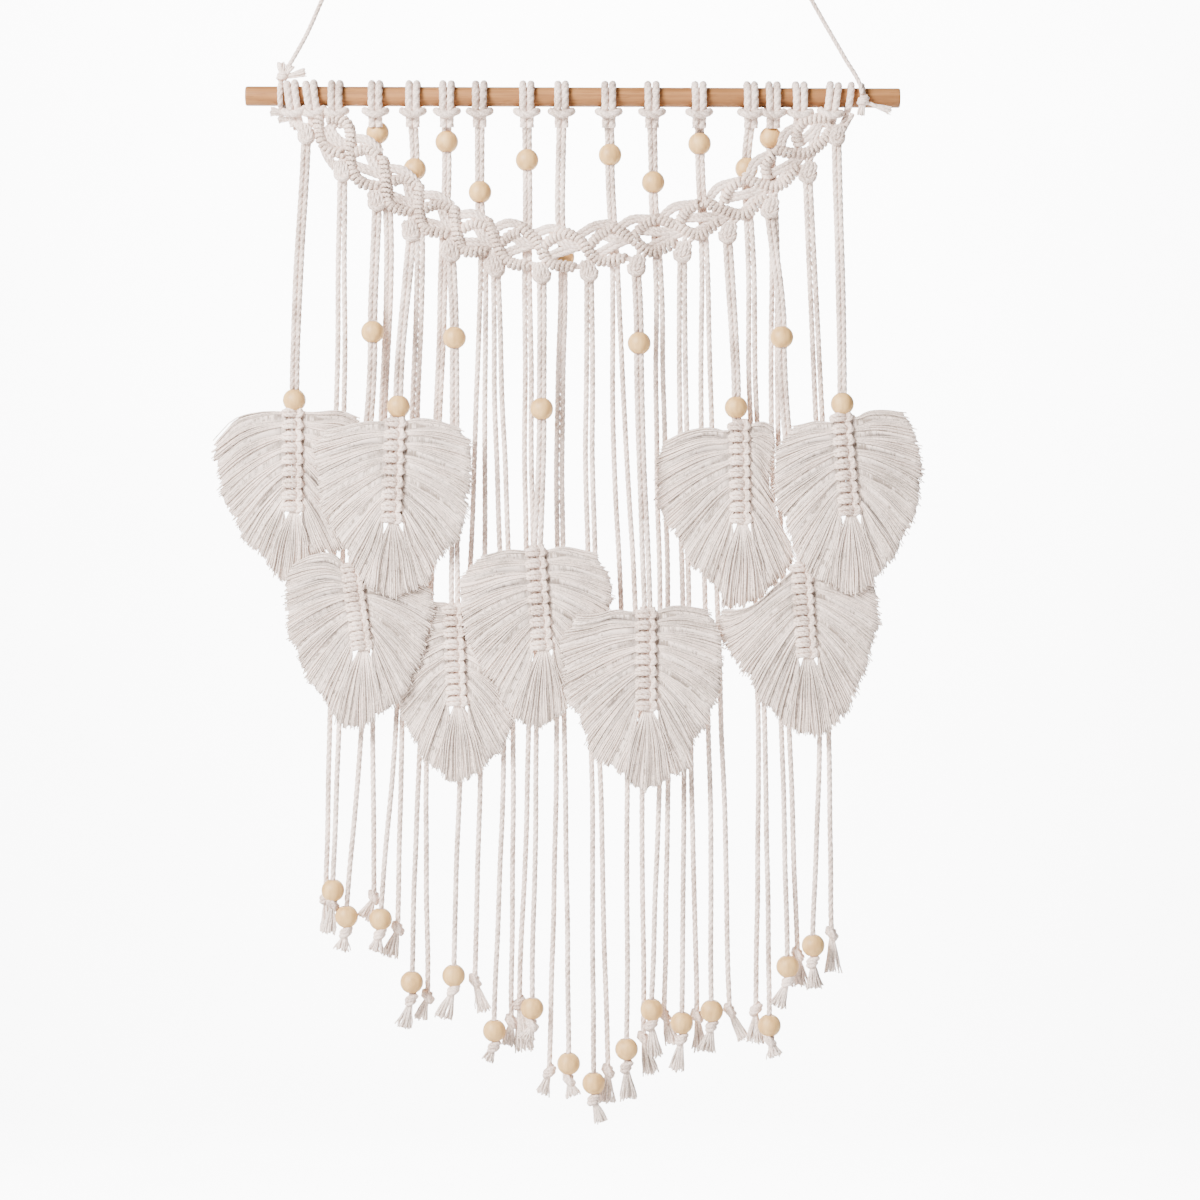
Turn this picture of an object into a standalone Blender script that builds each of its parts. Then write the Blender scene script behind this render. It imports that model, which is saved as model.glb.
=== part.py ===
"""A macrame wall hanging on a wooden rod, hung from a cord tied to the rod's two ends.

Metres, +Z up. The front faces -Y, and the origin is midway between the tops of the two
hanging loops. Tables are in millimetres: x is across, z is up, and y is depth.
"""
import math

import bmesh
import bpy
from mathutils import Matrix, Vector

MM = 0.001
GAP = 0.35  # air between two pieces that touch

# The rod and what is wound round it
ROD_RADIUS = 7.5
ROD_LEFT = (-244.0, -115.5)   # x, z of the rod's axis at each end: it hangs a little askew
ROD_RIGHT = (256.0, -117.0)
ROD_SIDES = 16
WRAP_INNER = 8.5              # inner radius of a wrap round the rod
WRAP_HEIGHT = 3.3
WRAP_STEPS = 8

# Cords
STRAND_RADIUS = 2.0
PAIR_HALF = 2.25              # half the distance between the two strands of a pair
BORE_STRAND_RADIUS = 1.3      # a strand pinched in a bead
BORE_PAIR_HALF = 1.6
HANGER_RADIUS = 1.5

# Beads
BEAD_RADIUS = 8.25
BORE_RADIUS = 3.9
BEAD_SIDES = 8
BEAD_RINGS = 4

# Depths, front to back
SWAG_Y = -9.3                 # the knotted swag
SWAG_TOUCH_Y = -5.0           # where a strand from the rod presses on the swag's back
ROD_PAIR_Y = 3.0              # those strands, and their beads, behind the swag
CURTAIN_Y = 2.5               # the long strands behind the leaves
LOW_BEAD_Y = -7.5             # a strand with a bead near its end swings forward
LEAF_Y = {"back": -9.0, "middle": -15.0, "front": -21.0}  # and the beads above them

# Lark's heads on the rod: x, number of wraps, tilt in degrees
HEADS = [
    (-208.0, 2, -8), (-193.5, 2, -8), (-175.0, 2, 0), (-144.5, 2, 0), (-116.0, 2, 0),
    (-90.0, 2, 0), (-65.0, 2, 0), (-29.0, 2, 0), (-2.5, 2, 0), (33.5, 2, 0), (66.5, 2, 0),
    (102.5, 2, 0), (142.0, 2, 0), (159.0, 2, 0), (179.5, 2, 0), (204.5, 2, 8), (217.5, 1, 8),
]

# Strand pairs from the rod: head x, bead x, bead z, then x and z where they press on the swag
ROD_PAIRS = {
    "p1": (-144.5, -143.5, -143.0, -137.5, -182.0),
    "p2": (-116.0, -115.0, -171.0, -112.5, -198.0),
    "p3": (-90.0, -90.5, -150.0, -91.5, -219.0),
    "p4": (-65.0, -65.0, -188.5, -63.0, -232.0),
    "p5": (-29.0, -29.0, -164.0, -28.5, -242.0),
    "p6": (-2.5, -1.5, -238.5, -3.0, -219.0),
    "p7": (33.5, 34.5, -160.0, 38.0, -239.0),
    "p8": (66.5, 67.5, -181.0, 70.5, -232.5),
    "p9": (102.5, 103.0, -151.5, 105.5, -218.0),
    "p10": (142.0, 139.0, -170.5, 140.0, -202.0),
    "p11": (159.0, 157.5, -147.0, 158.5, -184.0),
}

# Ridged bars of the swag, each crossing from the upper edge to the lower one and on along
# it: start, bend, foot and end, as x and z
BARS = [
    ((-187.5, -130.5), (-186.5, -147.5), (-180.5, -156.5), (-168.0, -160.5)),
    ((-181.0, -133.0), (-164.5, -146.0), (-160.0, -177.5), (-140.0, -186.0)),
    ((-138.5, -163.0), (-135.5, -179.5), (-133.0, -199.0), (-115.5, -205.0)),
    ((-111.0, -184.0), (-111.0, -200.5), (-107.0, -216.5), (-87.0, -221.0)),
    ((-84.0, -202.0), (-82.5, -218.5), (-78.0, -232.5), (-56.5, -234.0)),
    ((-62.0, -212.0), (-54.5, -226.5), (-47.5, -239.5), (-26.0, -244.0)),
    ((-34.5, -215.5), (-21.5, -226.5), (-12.0, -243.0), (7.5, -247.0)),
    ((-7.0, -218.0), (12.0, -227.0), (25.0, -241.5), (46.5, -240.0)),
    ((36.0, -215.5), (51.0, -225.5), (66.5, -235.5), (85.0, -228.0)),
    ((69.5, -209.5), (86.5, -216.5), (101.0, -222.5), (118.5, -211.0)),
    ((106.5, -197.0), (120.0, -203.5), (135.5, -207.0), (153.0, -192.5)),
    ((135.5, -178.0), (147.0, -183.5), (163.5, -185.0), (177.5, -170.5)),
    ((160.0, -157.5), (173.0, -160.5), (189.5, -159.0), (203.5, -146.0)),
    ((177.5, -137.5), (184.0, -136.0), (193.5, -134.5), (202.0, -131.5)),
]
BAR_RIDGE = 3.7
BAR_GROOVE = 2.9
BAR_RIDGES = 5                # a crossing bar's ridges
UPPER_RIDGES = 2              # and a short upper bar's

# Berry knots under the swag's lower edge: x, z
BERRIES = [
    (-197.0, -146.0), (-169.5, -174.5), (-143.0, -197.0), (-117.0, -220.0), (-86.5, -235.5),
    (-52.5, -247.0), (-17.5, -252.0), (18.5, -250.5), (54.5, -246.5), (89.5, -236.0),
    (124.0, -221.5), (156.0, -202.5), (185.0, -175.5), (207.0, -147.0),
]
BERRY_HALF = (6.1, 5.6, 7.6)  # half sizes across, deep and high

# Leaves: name, the berry it hangs from, its layer, its bead, the top and foot of its knotted
# spine, and its outline from the left shoulder round the lowest point to the right shoulder
LEAVES = [
    ("leaf_1", 1, "back", (-206.0, -348.5), (-206.0, -358.0), (-206.0, -430.0),
     ((-259, -367), (-268, -388), (-262, -418), (-244, -456), (-213, -487),
      (-186, -464), (-175, -424), (-164, -388), (-156, -361))),
    ("leaf_2", 4, "front", (-126.0, -354.0), (-127.0, -366.0), (-130.0, -439.0),
     ((-180, -371), (-188, -390), (-186, -428), (-165, -467), (-128, -500),
      (-100, -485), (-75, -440), (-71, -394), (-82, -370))),
    ("leaf_3", 3, "middle", (-146.0, -297.0), (-161.0, -476.0), (-153.0, -535.0),
     ((-203, -472), (-213, -494), (-211, -525), (-190, -568), (-159, -599),
      (-133, -583), (-105, -535), (-100, -504), (-107, -488))),
    ("leaf_4", 5, "back", (-84.0, -301.0), (-84.0, -508.0), (-81.0, -578.0),
     ((-121, -510), (-128, -535), (-128, -579), (-110, -621), (-82, -641),
      (-52, -620), (-37, -591), (-37, -539), (-44, -512))),
    ("leaf_5", 7, "middle", (-17.5, -355.5), (-21.0, -464.0), (-16.0, -535.0),
     ((-69, -472), (-80, -493), (-76, -528), (-47, -581), (-15, -599),
      (3, -584), (27, -539), (36, -490), (24, -467))),
    ("leaf_6", 9, "front", (56.5, -306.0), (63.0, -511.0), (63.0, -581.0),
     ((9, -513), (-3, -535), (5, -584), (22, -621), (62, -646),
      (96, -629), (112, -583), (120, -536), (108, -508))),
    ("leaf_7", 11, "back", (130.5, -354.0), (134.0, -368.0), (135.0, -439.0),
     ((82, -375), (71, -394), (72, -431), (103, -482), (132, -508),
      (171, -459), (159, -428), (158, -394), (161, -369))),
    ("leaf_8", 14, "front", (210.5, -352.0), (211.0, -362.0), (217.0, -433.0),
     ((168, -374), (159, -395), (161, -430), (180, -470), (221, -497),
      (238, -484), (265, -440), (271, -398), (258, -359))),
    ("leaf_9", 12, "middle", (165.0, -301.0), (181.0, -476.0), (185.0, -541.0),
     ((130, -508), (118, -518), (122, -537), (149, -579), (193, -605),
      (210, -592), (232, -550), (239, -505), (232, -485))),
]
SPINE_KNOTS = 8
SPINE_HALF_WIDTH = 5.6
SPINE_HALF_DEPTH = 2.3
KNOT_PROUD = 1.1              # how far a spine knot stands forward
FOOT_LOCKS = 3                # locks that hang from the spine's foot
LOCK_HALF_DEPTH = (2.2, 1.6)  # half way out, and at the tip
LOCK_SPLIT = 0.045            # share of a lock's width left open at each of its sides
LOCK_ARCH = 0.09              # how far a lock arches up, as a share of its length
STRAIGHT_LOCKS = 3            # the topmost locks on each side run straight

# Long strands: where each hangs from (a rod pair or a berry), x behind the leaves' tops, x
# under the leaves, end knot x and z, tip x and z, and the bead's z if it carries one
STRANDS = [
    (2, -175, -180, -183, -728, -181, -755, None), (2, -169, -173, -177, -732, -180, -755, -722),
    ("p1", -141, -156, -167, -754, -170, -768, -742), ("p1", -138, -147, -146, -728, -154, -745, None),
    ("p2", -117, -130, -141, -755, -145, -769, -744), ("p2", -113, -125, -128, -752, -134, -774, None),
    ("p3", -99, -111, -117, -805, -123, -827, -792), ("p3", -96, -106, -105, -804, -111, -822, None),
    ("p4", -68, -79, -85, -798, -93, -820, -787), ("p4", -61, -64, -69, -792, -62, -816, None),
    (6, -53, -47, -54, -841, -59, -852, -829), (6, -47, -40, -41, -823, -43, -842, None),
    ("p5", -31, -28, -35, -809, -31, -847, None), ("p5", -26, -22, -25, -824, -29, -836, -812),
    ("p6", -6, -6, -12, -862, -18, -879, None), ("p6", -2, 0, 3, -866, 7, -879, -854),
    (8, 16, 20, 22, -881, 28, -899, -869), (8, 21, 26, 33, -861, 31, -886, None),
    ("p7", 37, 47, 47, -856, 49, -882, -843), ("p7", 46, 58, 60, -836, 66, -864, None),
    ("p8", 70, 73, 66, -824, 69, -850, -813), ("p8", 76, 79, 76, -818, 83, -841, None),
    (10, 88, 91, 89, -835, 85, -860, -823), (10, 93, 96, 101, -819, 104, -846, None),
    ("p9", 104, 110, 112, -825, 108, -845, -814), ("p9", 112, 120, 126, -815, 137, -837, None),
    ("p10", 142, 148, 146, -814, 145, -840, None), ("p10", 147, 153, 156, -836, 161, -849, -825),
    ("p11", 158, 166, 170, -791, 161, -811, -780), ("p11", 163, 172, 178, -772, 180, -797, None),
    (13, 192, 195, 189, -776, 191, -797, -764), (13, 197, 202, 204, -756, 205, -786, None),
]
LEAF_TOP_Z = -363.0
UNDER_LEAF_Z = -604.0
END_KNOT_RADIUS = 4.7
END_KNOT_HALF = 4.2
TUFT_LOCKS = 3
TUFT_SPREAD = 3.0
KEPT_SHARE = 0.70             # share of the faces kept once the slivers at the joins are merged

# The hanger: where the cord leaves the tie on the rod, its route up, and the loop it ends in
HANGERS = {
    "left": {"wrap_x": -217.0, "knot": (-215.6, -3.0, -100.6), "knot_half": (4.5, 4.3, 4.7),
             "route": ((-213.0, -2.6, -96.3), (-209.0, -2.0, -89.5), (-198.0, -0.5, -69.5),
                       (-187.0, 1.0, -44.5), (-177.2, 2.0, -22.2)),
             "loop": (-172.0, 2.0, -10.0),
             "tails": (((-216.0, -4.5, -100.0), (-218.0, -6.0, -91.0)),
                       ((-212.0, -3.5, -101.0), (-199.0, -4.5, -99.5)),
                       ((-217.0, 9.5, -119.0), (-212.0, 11.0, -128.5), (-203.0, 9.5, -137.0)))},
    "right": {"wrap_x": 227.0, "knot": (227.0, -13.0, -121.0), "knot_half": (4.6, 4.2, 4.2),
              "route": ((226.6, -13.4, -116.0), (224.6, -12.0, -108.5), (214.0, -7.0, -88.5),
                        (197.0, -1.5, -57.5), (177.8, 2.0, -21.9)),
              "loop": (171.5, 2.0, -10.0),
              "tails": (((228.0, -13.0, -122.0), (237.0, -13.0, -125.0), (247.0, -12.0, -127.5)),
                        ((227.0, -13.0, -123.0), (225.5, -13.0, -131.0)))},
}
LOOP_RADIUS = 8.5
LOOP_KNOT_HALF = (3.5, 3.2, 3.6)

COLOURS = {
    "cotton": ((0.80, 0.755, 0.71, 1.0), 0.9),
    "beech": ((0.60, 0.36, 0.21, 1.0), 0.55),
    "pale_wood": ((0.80, 0.62, 0.42, 1.0), 0.5),
}


def clear_scene():
    for thing in list(bpy.data.objects):
        bpy.data.objects.remove(thing, do_unlink=True)


def material(name):
    made = bpy.data.materials.new(name)
    made.use_nodes = True
    shader = made.node_tree.nodes["Principled BSDF"]
    colour, roughness = COLOURS[name]
    shader.inputs["Base Color"].default_value = colour
    shader.inputs["Roughness"].default_value = roughness
    shader.inputs["Metallic"].default_value = 0.0
    return made


def place(x, y, z):
    return Vector((x * MM, y * MM, z * MM))


def rod_z(x):
    along = (x - ROD_LEFT[0]) / (ROD_RIGHT[0] - ROD_LEFT[0])
    return ROD_LEFT[1] + along * (ROD_RIGHT[1] - ROD_LEFT[1])


def add_object(name, mesh, finish=None, collection=None):
    made = bpy.data.objects.new(name, mesh)
    (collection or bpy.context.scene.collection).objects.link(made)
    if finish:
        mesh.materials.append(finish)
    return made


def mesh_from(bm, name):
    bmesh.ops.recalc_face_normals(bm, faces=bm.faces[:])
    mesh = bpy.data.meshes.new(name)
    bm.to_mesh(mesh)
    bm.free()
    return mesh


def tube_curve(name, points, radii, sides):
    """A cord as a curve with filled ends. Radii are in millimetres, one for each point."""
    curve = bpy.data.curves.new(name, "CURVE")
    curve.dimensions = "3D"
    curve.bevel_depth = MM
    curve.bevel_resolution = (sides - 4) // 2
    curve.use_fill_caps = True
    spline = curve.splines.new("POLY")
    spline.points.add(len(points) - 1)
    for point, spot, radius in zip(spline.points, points, radii):
        point.co = (*place(*spot), 1.0)
        point.radius = radius
    return curve


def tube_mesh(name, points, radii, sides=4):
    """The same cord as a closed mesh."""
    holder = add_object(name, tube_curve(name, points, radii, sides))
    depsgraph = bpy.context.evaluated_depsgraph_get()
    raw = bpy.data.meshes.new_from_object(holder.evaluated_get(depsgraph))
    bpy.data.objects.remove(holder, do_unlink=True)
    bm = bmesh.new()
    bm.from_mesh(raw)
    bmesh.ops.remove_doubles(bm, verts=bm.verts[:], dist=0.001 * MM)
    return mesh_from(bm, name)


def ball_mesh(name, centre, half, around=7, rings=4, rib=0.0):
    """A knot: a ball with its own half sizes, and every other side drawn in by rib."""
    bm = bmesh.new()
    bmesh.ops.create_uvsphere(bm, u_segments=around, v_segments=rings, radius=1.0)
    step = 2 * math.pi / around
    for vert in bm.verts:
        side = round(math.atan2(vert.co.y, vert.co.x) / step)
        inward = 1.0 - rib * (side % 2)
        vert.co = place(centre[0] + vert.co.x * half[0] * inward,
                        centre[1] + vert.co.y * half[1] * inward,
                        centre[2] + vert.co.z * half[2])
    return mesh_from(bm, name)


def wrap_mesh(name, x, humps, tilt=0.0, half=4.3):
    """Cord wound over the rod: a profile of one or two humps, turned round the rod's axis."""
    width = half if humps == 2 else half / 2
    profile = [(-width, 0.0)]
    if humps == 2:
        profile += [(-half / 2, WRAP_HEIGHT), (0.0, WRAP_HEIGHT - 1.7), (half / 2, WRAP_HEIGHT)]
    else:
        profile += [(-0.9, WRAP_HEIGHT), (0.9, WRAP_HEIGHT)]
    profile.append((width, 0.0))
    bm = bmesh.new()
    inner = WRAP_INNER + width * abs(math.sin(math.radians(tilt)))
    verts = [bm.verts.new((across * MM, 0, (inner + out) * MM)) for across, out in profile]
    edges = [bm.edges.new((verts[i], verts[(i + 1) % len(verts)])) for i in range(len(verts))]
    bmesh.ops.spin(bm, geom=verts + edges, cent=(0, 0, 0), axis=(1, 0, 0),
                   angle=2 * math.pi, steps=WRAP_STEPS, use_merge=True)
    bmesh.ops.remove_doubles(bm, verts=bm.verts[:], dist=0.001 * MM)
    turn = Matrix.Rotation(math.radians(tilt), 4, "Y")
    bmesh.ops.transform(bm, matrix=Matrix.Translation(place(x, 0, rod_z(x))) @ turn, verts=bm.verts[:])
    return mesh_from(bm, name)


def walk(points, pitch):
    """Points an even distance apart along a run of straight lines, ends included."""
    spots = [Vector(point) for point in points]
    lengths = [(b - a).length for a, b in zip(spots, spots[1:])]
    steps = max(2, round(sum(lengths) / pitch))
    made = []
    for step in range(steps + 1):
        left = sum(lengths) * step / steps
        for start, end, length in zip(spots, spots[1:], lengths):
            if left <= length + 1e-9:
                break
            left -= length
        made.append(tuple(start.lerp(end, min(1.0, left / length))))
    return made


def ridged_bar(name, points, ridges):
    length = sum(math.dist(a, b) for a, b in zip(points, points[1:]))
    spots = walk(points, length / ridges / 2)
    radii = [BAR_RIDGE if i % 2 else BAR_GROOVE for i in range(len(spots))]
    return tube_mesh(name, spots, radii, sides=4)


def along(points, share):
    """The place at a share of the way along three points, as x and z."""
    first, middle, last = (Vector(point) for point in points)
    return first.lerp(middle, share * 2) if share < 0.5 else middle.lerp(last, share * 2 - 1)


def heads():
    """The lark's heads: two wraps over the rod and the bight in front, under the rod."""
    made = []
    for index, (x, humps, tilt) in enumerate(HEADS):
        made.append(wrap_mesh(f"head_{index}", x, humps, tilt))
        if humps == 2:
            low = rod_z(x)
            bight = [(x - 5.0, -7.0, low - 8.4), (x, -6.4, low - 11.7), (x + 5.0, -7.0, low - 8.4)]
            made.append(tube_mesh(f"bight_{index}", bight, (1.9, 2.3, 1.9)))
    return made


def swag():
    """Ridged bars, the cords in the cells between them, and the berry knots."""
    made = []
    for index, bar in enumerate(BARS):
        points = [(x, SWAG_Y, z) for x, z in bar]
        made.append(ridged_bar(f"bar_{index}", points, BAR_RIDGES if index < len(BARS) - 1 else UPPER_RIDGES))
    for index in range(1, len(BARS)):
        crossing, nearest = BARS[index - 1][:3], BARS[index][:3]
        if index == 1:
            continue  # the first two bars lie side by side
        start, end = along(crossing, 0.5), along(nearest, 0.02)
        rise = (end - start).orthogonal().normalized() * 3.5
        rise = rise if rise.y > 0 else -rise
        top = (start + end) / 2 + rise
        upper = [(start.x, SWAG_Y, start.y), (top.x, SWAG_Y - 0.6, top.y), (end.x, SWAG_Y, end.y)]
        made.append(ridged_bar(f"upper_{index}", upper, UPPER_RIDGES))
        cord_start, cord_end = along(crossing, 0.14), along(nearest, 0.06)
        arch = (cord_start + cord_end) / 2 + rise * 1.5
        made.append(tube_mesh(f"arch_{index}", [
            (cord_start.x, SWAG_Y + 0.3, cord_start.y), (arch.x, SWAG_Y + 0.9, arch.y),
            (cord_end.x, SWAG_Y + 0.3, cord_end.y)], (1.8, 1.8, 1.8)))
        low = along(nearest, 0.52)
        made.append(tube_mesh(f"cross_{index}", [
            (top.x, SWAG_Y + 0.5, top.y), (low.x, SWAG_Y + 0.5, low.y)], (2.2, 2.2)))
    for index, (x, z) in enumerate(BERRIES):
        made.append(ball_mesh(f"berry_{index + 1}", (x, SWAG_Y - 0.4, z), BERRY_HALF, rib=0.12))
    return made


def necks():
    """Short cords from the bars and the outer heads to the berries, and into the end bars."""
    made = []
    for index, (x, z) in enumerate(BERRIES):
        from_x, from_z = BARS[index - 1][3] if index else BARS[0][1]
        made.append(tube_mesh(f"neck_{index}", [
            (from_x, SWAG_Y + 0.2, from_z), (x, SWAG_Y + 0.2, z + 1.0)], (2.6, 2.3)))
    first, last = BERRIES[0], BERRIES[-1]
    joins = [
        (HEADS[0][0], first), (HEADS[1][0], BARS[0][0]), (HEADS[2][0], (-173.0, -139.0)),
        (HEADS[14][0], (182.0, -136.0)), (HEADS[15][0], (199.5, -132.5)), (HEADS[16][0], last),
    ]
    for number, (x, target) in enumerate(joins):
        made.append(tube_mesh(f"join_{number}", [
            (x, -3.0, rod_z(x) - 10.0), (target[0], SWAG_Y + 0.4, target[1])], (2.8, 2.5)))
    return made


def through_bead(x, y, z, side):
    """The two points of one strand of a pair that is pinched through a bead."""
    return [
        ((x + side * BORE_PAIR_HALF, y, z + BEAD_RADIUS * 0.86), BORE_STRAND_RADIUS),
        ((x + side * BORE_PAIR_HALF, y, z - BEAD_RADIUS * 0.86), BORE_STRAND_RADIUS),
    ]


def end_knot(x, y, z):
    """The plain knot that ends a long strand."""
    return [((x, y, z + END_KNOT_HALF), STRAND_RADIUS), ((x, y, z - 0.5), END_KNOT_RADIUS),
            ((x, y, z - END_KNOT_HALF), STRAND_RADIUS)]


def low_bead_spot(row):
    """Where a long strand's bead sits, on the straight run between the leaves and the knot."""
    x_low, knot_x, knot_z, bead_z = row[2], row[3], row[4], row[7]
    share = (bead_z - UNDER_LEAF_Z) / (knot_z + END_KNOT_HALF - UNDER_LEAF_Z)
    return (x_low + share * (knot_x - x_low), CURTAIN_Y + share * (LOW_BEAD_Y - CURTAIN_Y), bead_z)


def tuft(name, x, y, z, tip_x, tip_z):
    """The frayed end below a knot: a few locks that stand apart but for their roots."""
    made = []
    start = place(x, y, z - END_KNOT_HALF + 1.4)
    for lock in range(TUFT_LOCKS):
        spread = (lock - (TUFT_LOCKS - 1) / 2) * TUFT_SPREAD
        end = place(tip_x + spread, y + 0.9 * (lock % 2), tip_z + abs(spread) * 0.5)
        root = start + place(spread * 0.45, 0.4 * (lock % 2), 0)
        run = end - root
        bm = bmesh.new()
        bmesh.ops.create_cone(bm, cap_ends=True, segments=3, radius1=1.1 * MM, radius2=1.5 * MM,
                              depth=run.length)
        turn = run.to_track_quat("Z", "Y").to_matrix().to_4x4()
        bmesh.ops.transform(bm, matrix=Matrix.Translation(root + run / 2) @ turn, verts=bm.verts[:])
        made.append(mesh_from(bm, f"{name}_{lock}"))
    return made


def long_strands():
    made = []
    seen = {}
    for index, (source, x_top, x_low, knot_x, knot_z, tip_x, tip_z, bead_z) in enumerate(STRANDS):
        side = 1 if source in seen else -1
        seen[source] = True
        if source in ROD_PAIRS:
            head_x, bead_x, pair_bead_z, touch_x, touch_z = ROD_PAIRS[source]
            start = [((head_x + side * PAIR_HALF, -1.0, rod_z(head_x) - 10.2), STRAND_RADIUS)]
            bead = through_bead(bead_x, ROD_PAIR_Y, pair_bead_z, side)
            touch = [((touch_x + side * PAIR_HALF, SWAG_TOUCH_Y, touch_z), STRAND_RADIUS)]
            points = start + (touch + bead if touch_z > pair_bead_z else bead + touch)
        else:
            berry_x, berry_z = BERRIES[source - 1]
            points = [((berry_x + side * PAIR_HALF, SWAG_Y + 0.5, berry_z - 3.0), STRAND_RADIUS)]
        end_y = LOW_BEAD_Y if bead_z is not None else CURTAIN_Y
        points += [((x_top, CURTAIN_Y, LEAF_TOP_Z), STRAND_RADIUS),
                   ((x_low, CURTAIN_Y, UNDER_LEAF_Z), STRAND_RADIUS)]
        points += end_knot(knot_x, end_y, knot_z)
        made.append(tube_mesh(f"strand_{index}", [p for p, _ in points], [r for _, r in points]))
        made += tuft(f"tuft_{index}", knot_x, end_y, knot_z, tip_x, tip_z)
    return made


def leaf_pairs():
    """The pair that carries each leaf, from its berry through its bead to the spine's top."""
    made = []
    for name, berry, layer, bead, top, _foot, _outline in LEAVES:
        berry_x, berry_z = BERRIES[berry - 1]
        for side in (-1, 1):
            points = [((berry_x + side * PAIR_HALF, SWAG_Y - 0.5, berry_z - 3.0), STRAND_RADIUS)]
            points += through_bead(bead[0], LEAF_Y[layer], bead[1], side)
            long_drop = bead[1] - top[1] > 3 * BEAD_RADIUS
            half, radius = (PAIR_HALF, STRAND_RADIUS) if long_drop else (BORE_PAIR_HALF, BORE_STRAND_RADIUS)
            slant = abs(top[0] - bead[0]) / (bead[1] - BEAD_RADIUS - top[1])
            points.append(((top[0] + side * half, LEAF_Y[layer], top[1] + GAP + radius * slant), radius))
            made.append(tube_mesh(f"{name}_pair_{side}", [p for p, _ in points], [r for _, r in points]))
    return made


def unite(name, meshes, finish):
    """Meshes united into one node: the first takes the rest as its cutters."""
    parts = bpy.data.collections.new(f"{name}_parts")
    bpy.context.scene.collection.children.link(parts)
    for mesh in meshes[1:]:
        part = add_object(f"cut_{mesh.name}", mesh, collection=parts)
        part.hide_render = True
        part.display_type = "WIRE"
    whole = add_object(name, meshes[0], finish)
    union = whole.modifiers.new("join", "BOOLEAN")
    union.operation = "UNION"
    union.solver = "EXACT"
    union.operand_type = "COLLECTION"
    union.collection = parts
    return whole


def macrame(finish):
    """All knotted cord as one body, with the slivers at its many joins merged away."""
    whole = unite("macrame", heads() + swag() + necks() + long_strands() + leaf_pairs(), finish)
    thin = whole.modifiers.new("slivers", "DECIMATE")
    thin.decimate_type = "COLLAPSE"
    thin.ratio = KEPT_SHARE
    thin.use_collapse_triangulate = True
    return whole


def rod(finish):
    bm = bmesh.new()
    length = math.dist(ROD_LEFT, ROD_RIGHT) * MM
    bmesh.ops.create_cone(bm, cap_ends=True, segments=ROD_SIDES, radius1=ROD_RADIUS * MM,
                          radius2=ROD_RADIUS * MM, depth=length)
    rims = [edge for edge in bm.edges if abs(edge.verts[0].co.z - edge.verts[1].co.z) < MM]
    bmesh.ops.bevel(bm, geom=rims, offset=1.0 * MM, segments=1, profile=0.5, affect="EDGES", material=-1)
    tilt = math.atan2(ROD_RIGHT[1] - ROD_LEFT[1], ROD_RIGHT[0] - ROD_LEFT[0])
    made = add_object("rod", mesh_from(bm, "rod"), finish)
    made.data.shade_smooth()
    made.rotation_euler = (0, math.pi / 2 - tilt, 0)
    made.location = place((ROD_LEFT[0] + ROD_RIGHT[0]) / 2, 0, (ROD_LEFT[1] + ROD_RIGHT[1]) / 2)
    return made


def bead_mesh():
    """A bored ball, turned from half its outline."""
    rim = math.asin(BORE_RADIUS / BEAD_RADIUS)
    bm = bmesh.new()
    verts = []
    for ring in range(BEAD_RINGS + 1):
        angle = rim + (math.pi - 2 * rim) * ring / BEAD_RINGS
        verts.append(bm.verts.new((BEAD_RADIUS * MM * math.sin(angle), 0, BEAD_RADIUS * MM * math.cos(angle))))
    edges = [bm.edges.new((verts[i], verts[(i + 1) % len(verts)])) for i in range(len(verts))]
    bmesh.ops.spin(bm, geom=verts + edges, cent=(0, 0, 0), axis=(0, 0, 1),
                   angle=2 * math.pi, steps=BEAD_SIDES, use_merge=True)
    bmesh.ops.remove_doubles(bm, verts=bm.verts[:], dist=0.001 * MM)
    return mesh_from(bm, "bead")


def beads(finish):
    spots = [(x, ROD_PAIR_Y, z) for _head, x, z, _touch_x, _touch_z in ROD_PAIRS.values()]
    spots += [(leaf[3][0], LEAF_Y[leaf[2]], leaf[3][1]) for leaf in LEAVES]
    spots += [low_bead_spot(row) for row in STRANDS if row[7] is not None]
    mesh = bead_mesh()
    mesh.shade_smooth()
    mesh.materials.append(finish)
    for number, spot in enumerate(spots):
        made = add_object(f"bead_{number + 1:02d}", mesh)
        made.location = place(*spot)


def outline_point(outline, share):
    """A point on the smooth curve through the outline's points; share runs along them."""
    index = min(int(share), len(outline) - 2)
    t = share - index
    near = [Vector(outline[max(0, min(len(outline) - 1, index + step))]) for step in (-1, 0, 1, 2)]
    return 0.5 * ((2 * near[1]) + (near[2] - near[0]) * t
                  + (2 * near[0] - 5 * near[1] + 4 * near[2] - near[3]) * t * t
                  + (3 * near[1] - near[0] - 3 * near[2] + near[3]) * t ** 3)


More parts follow.
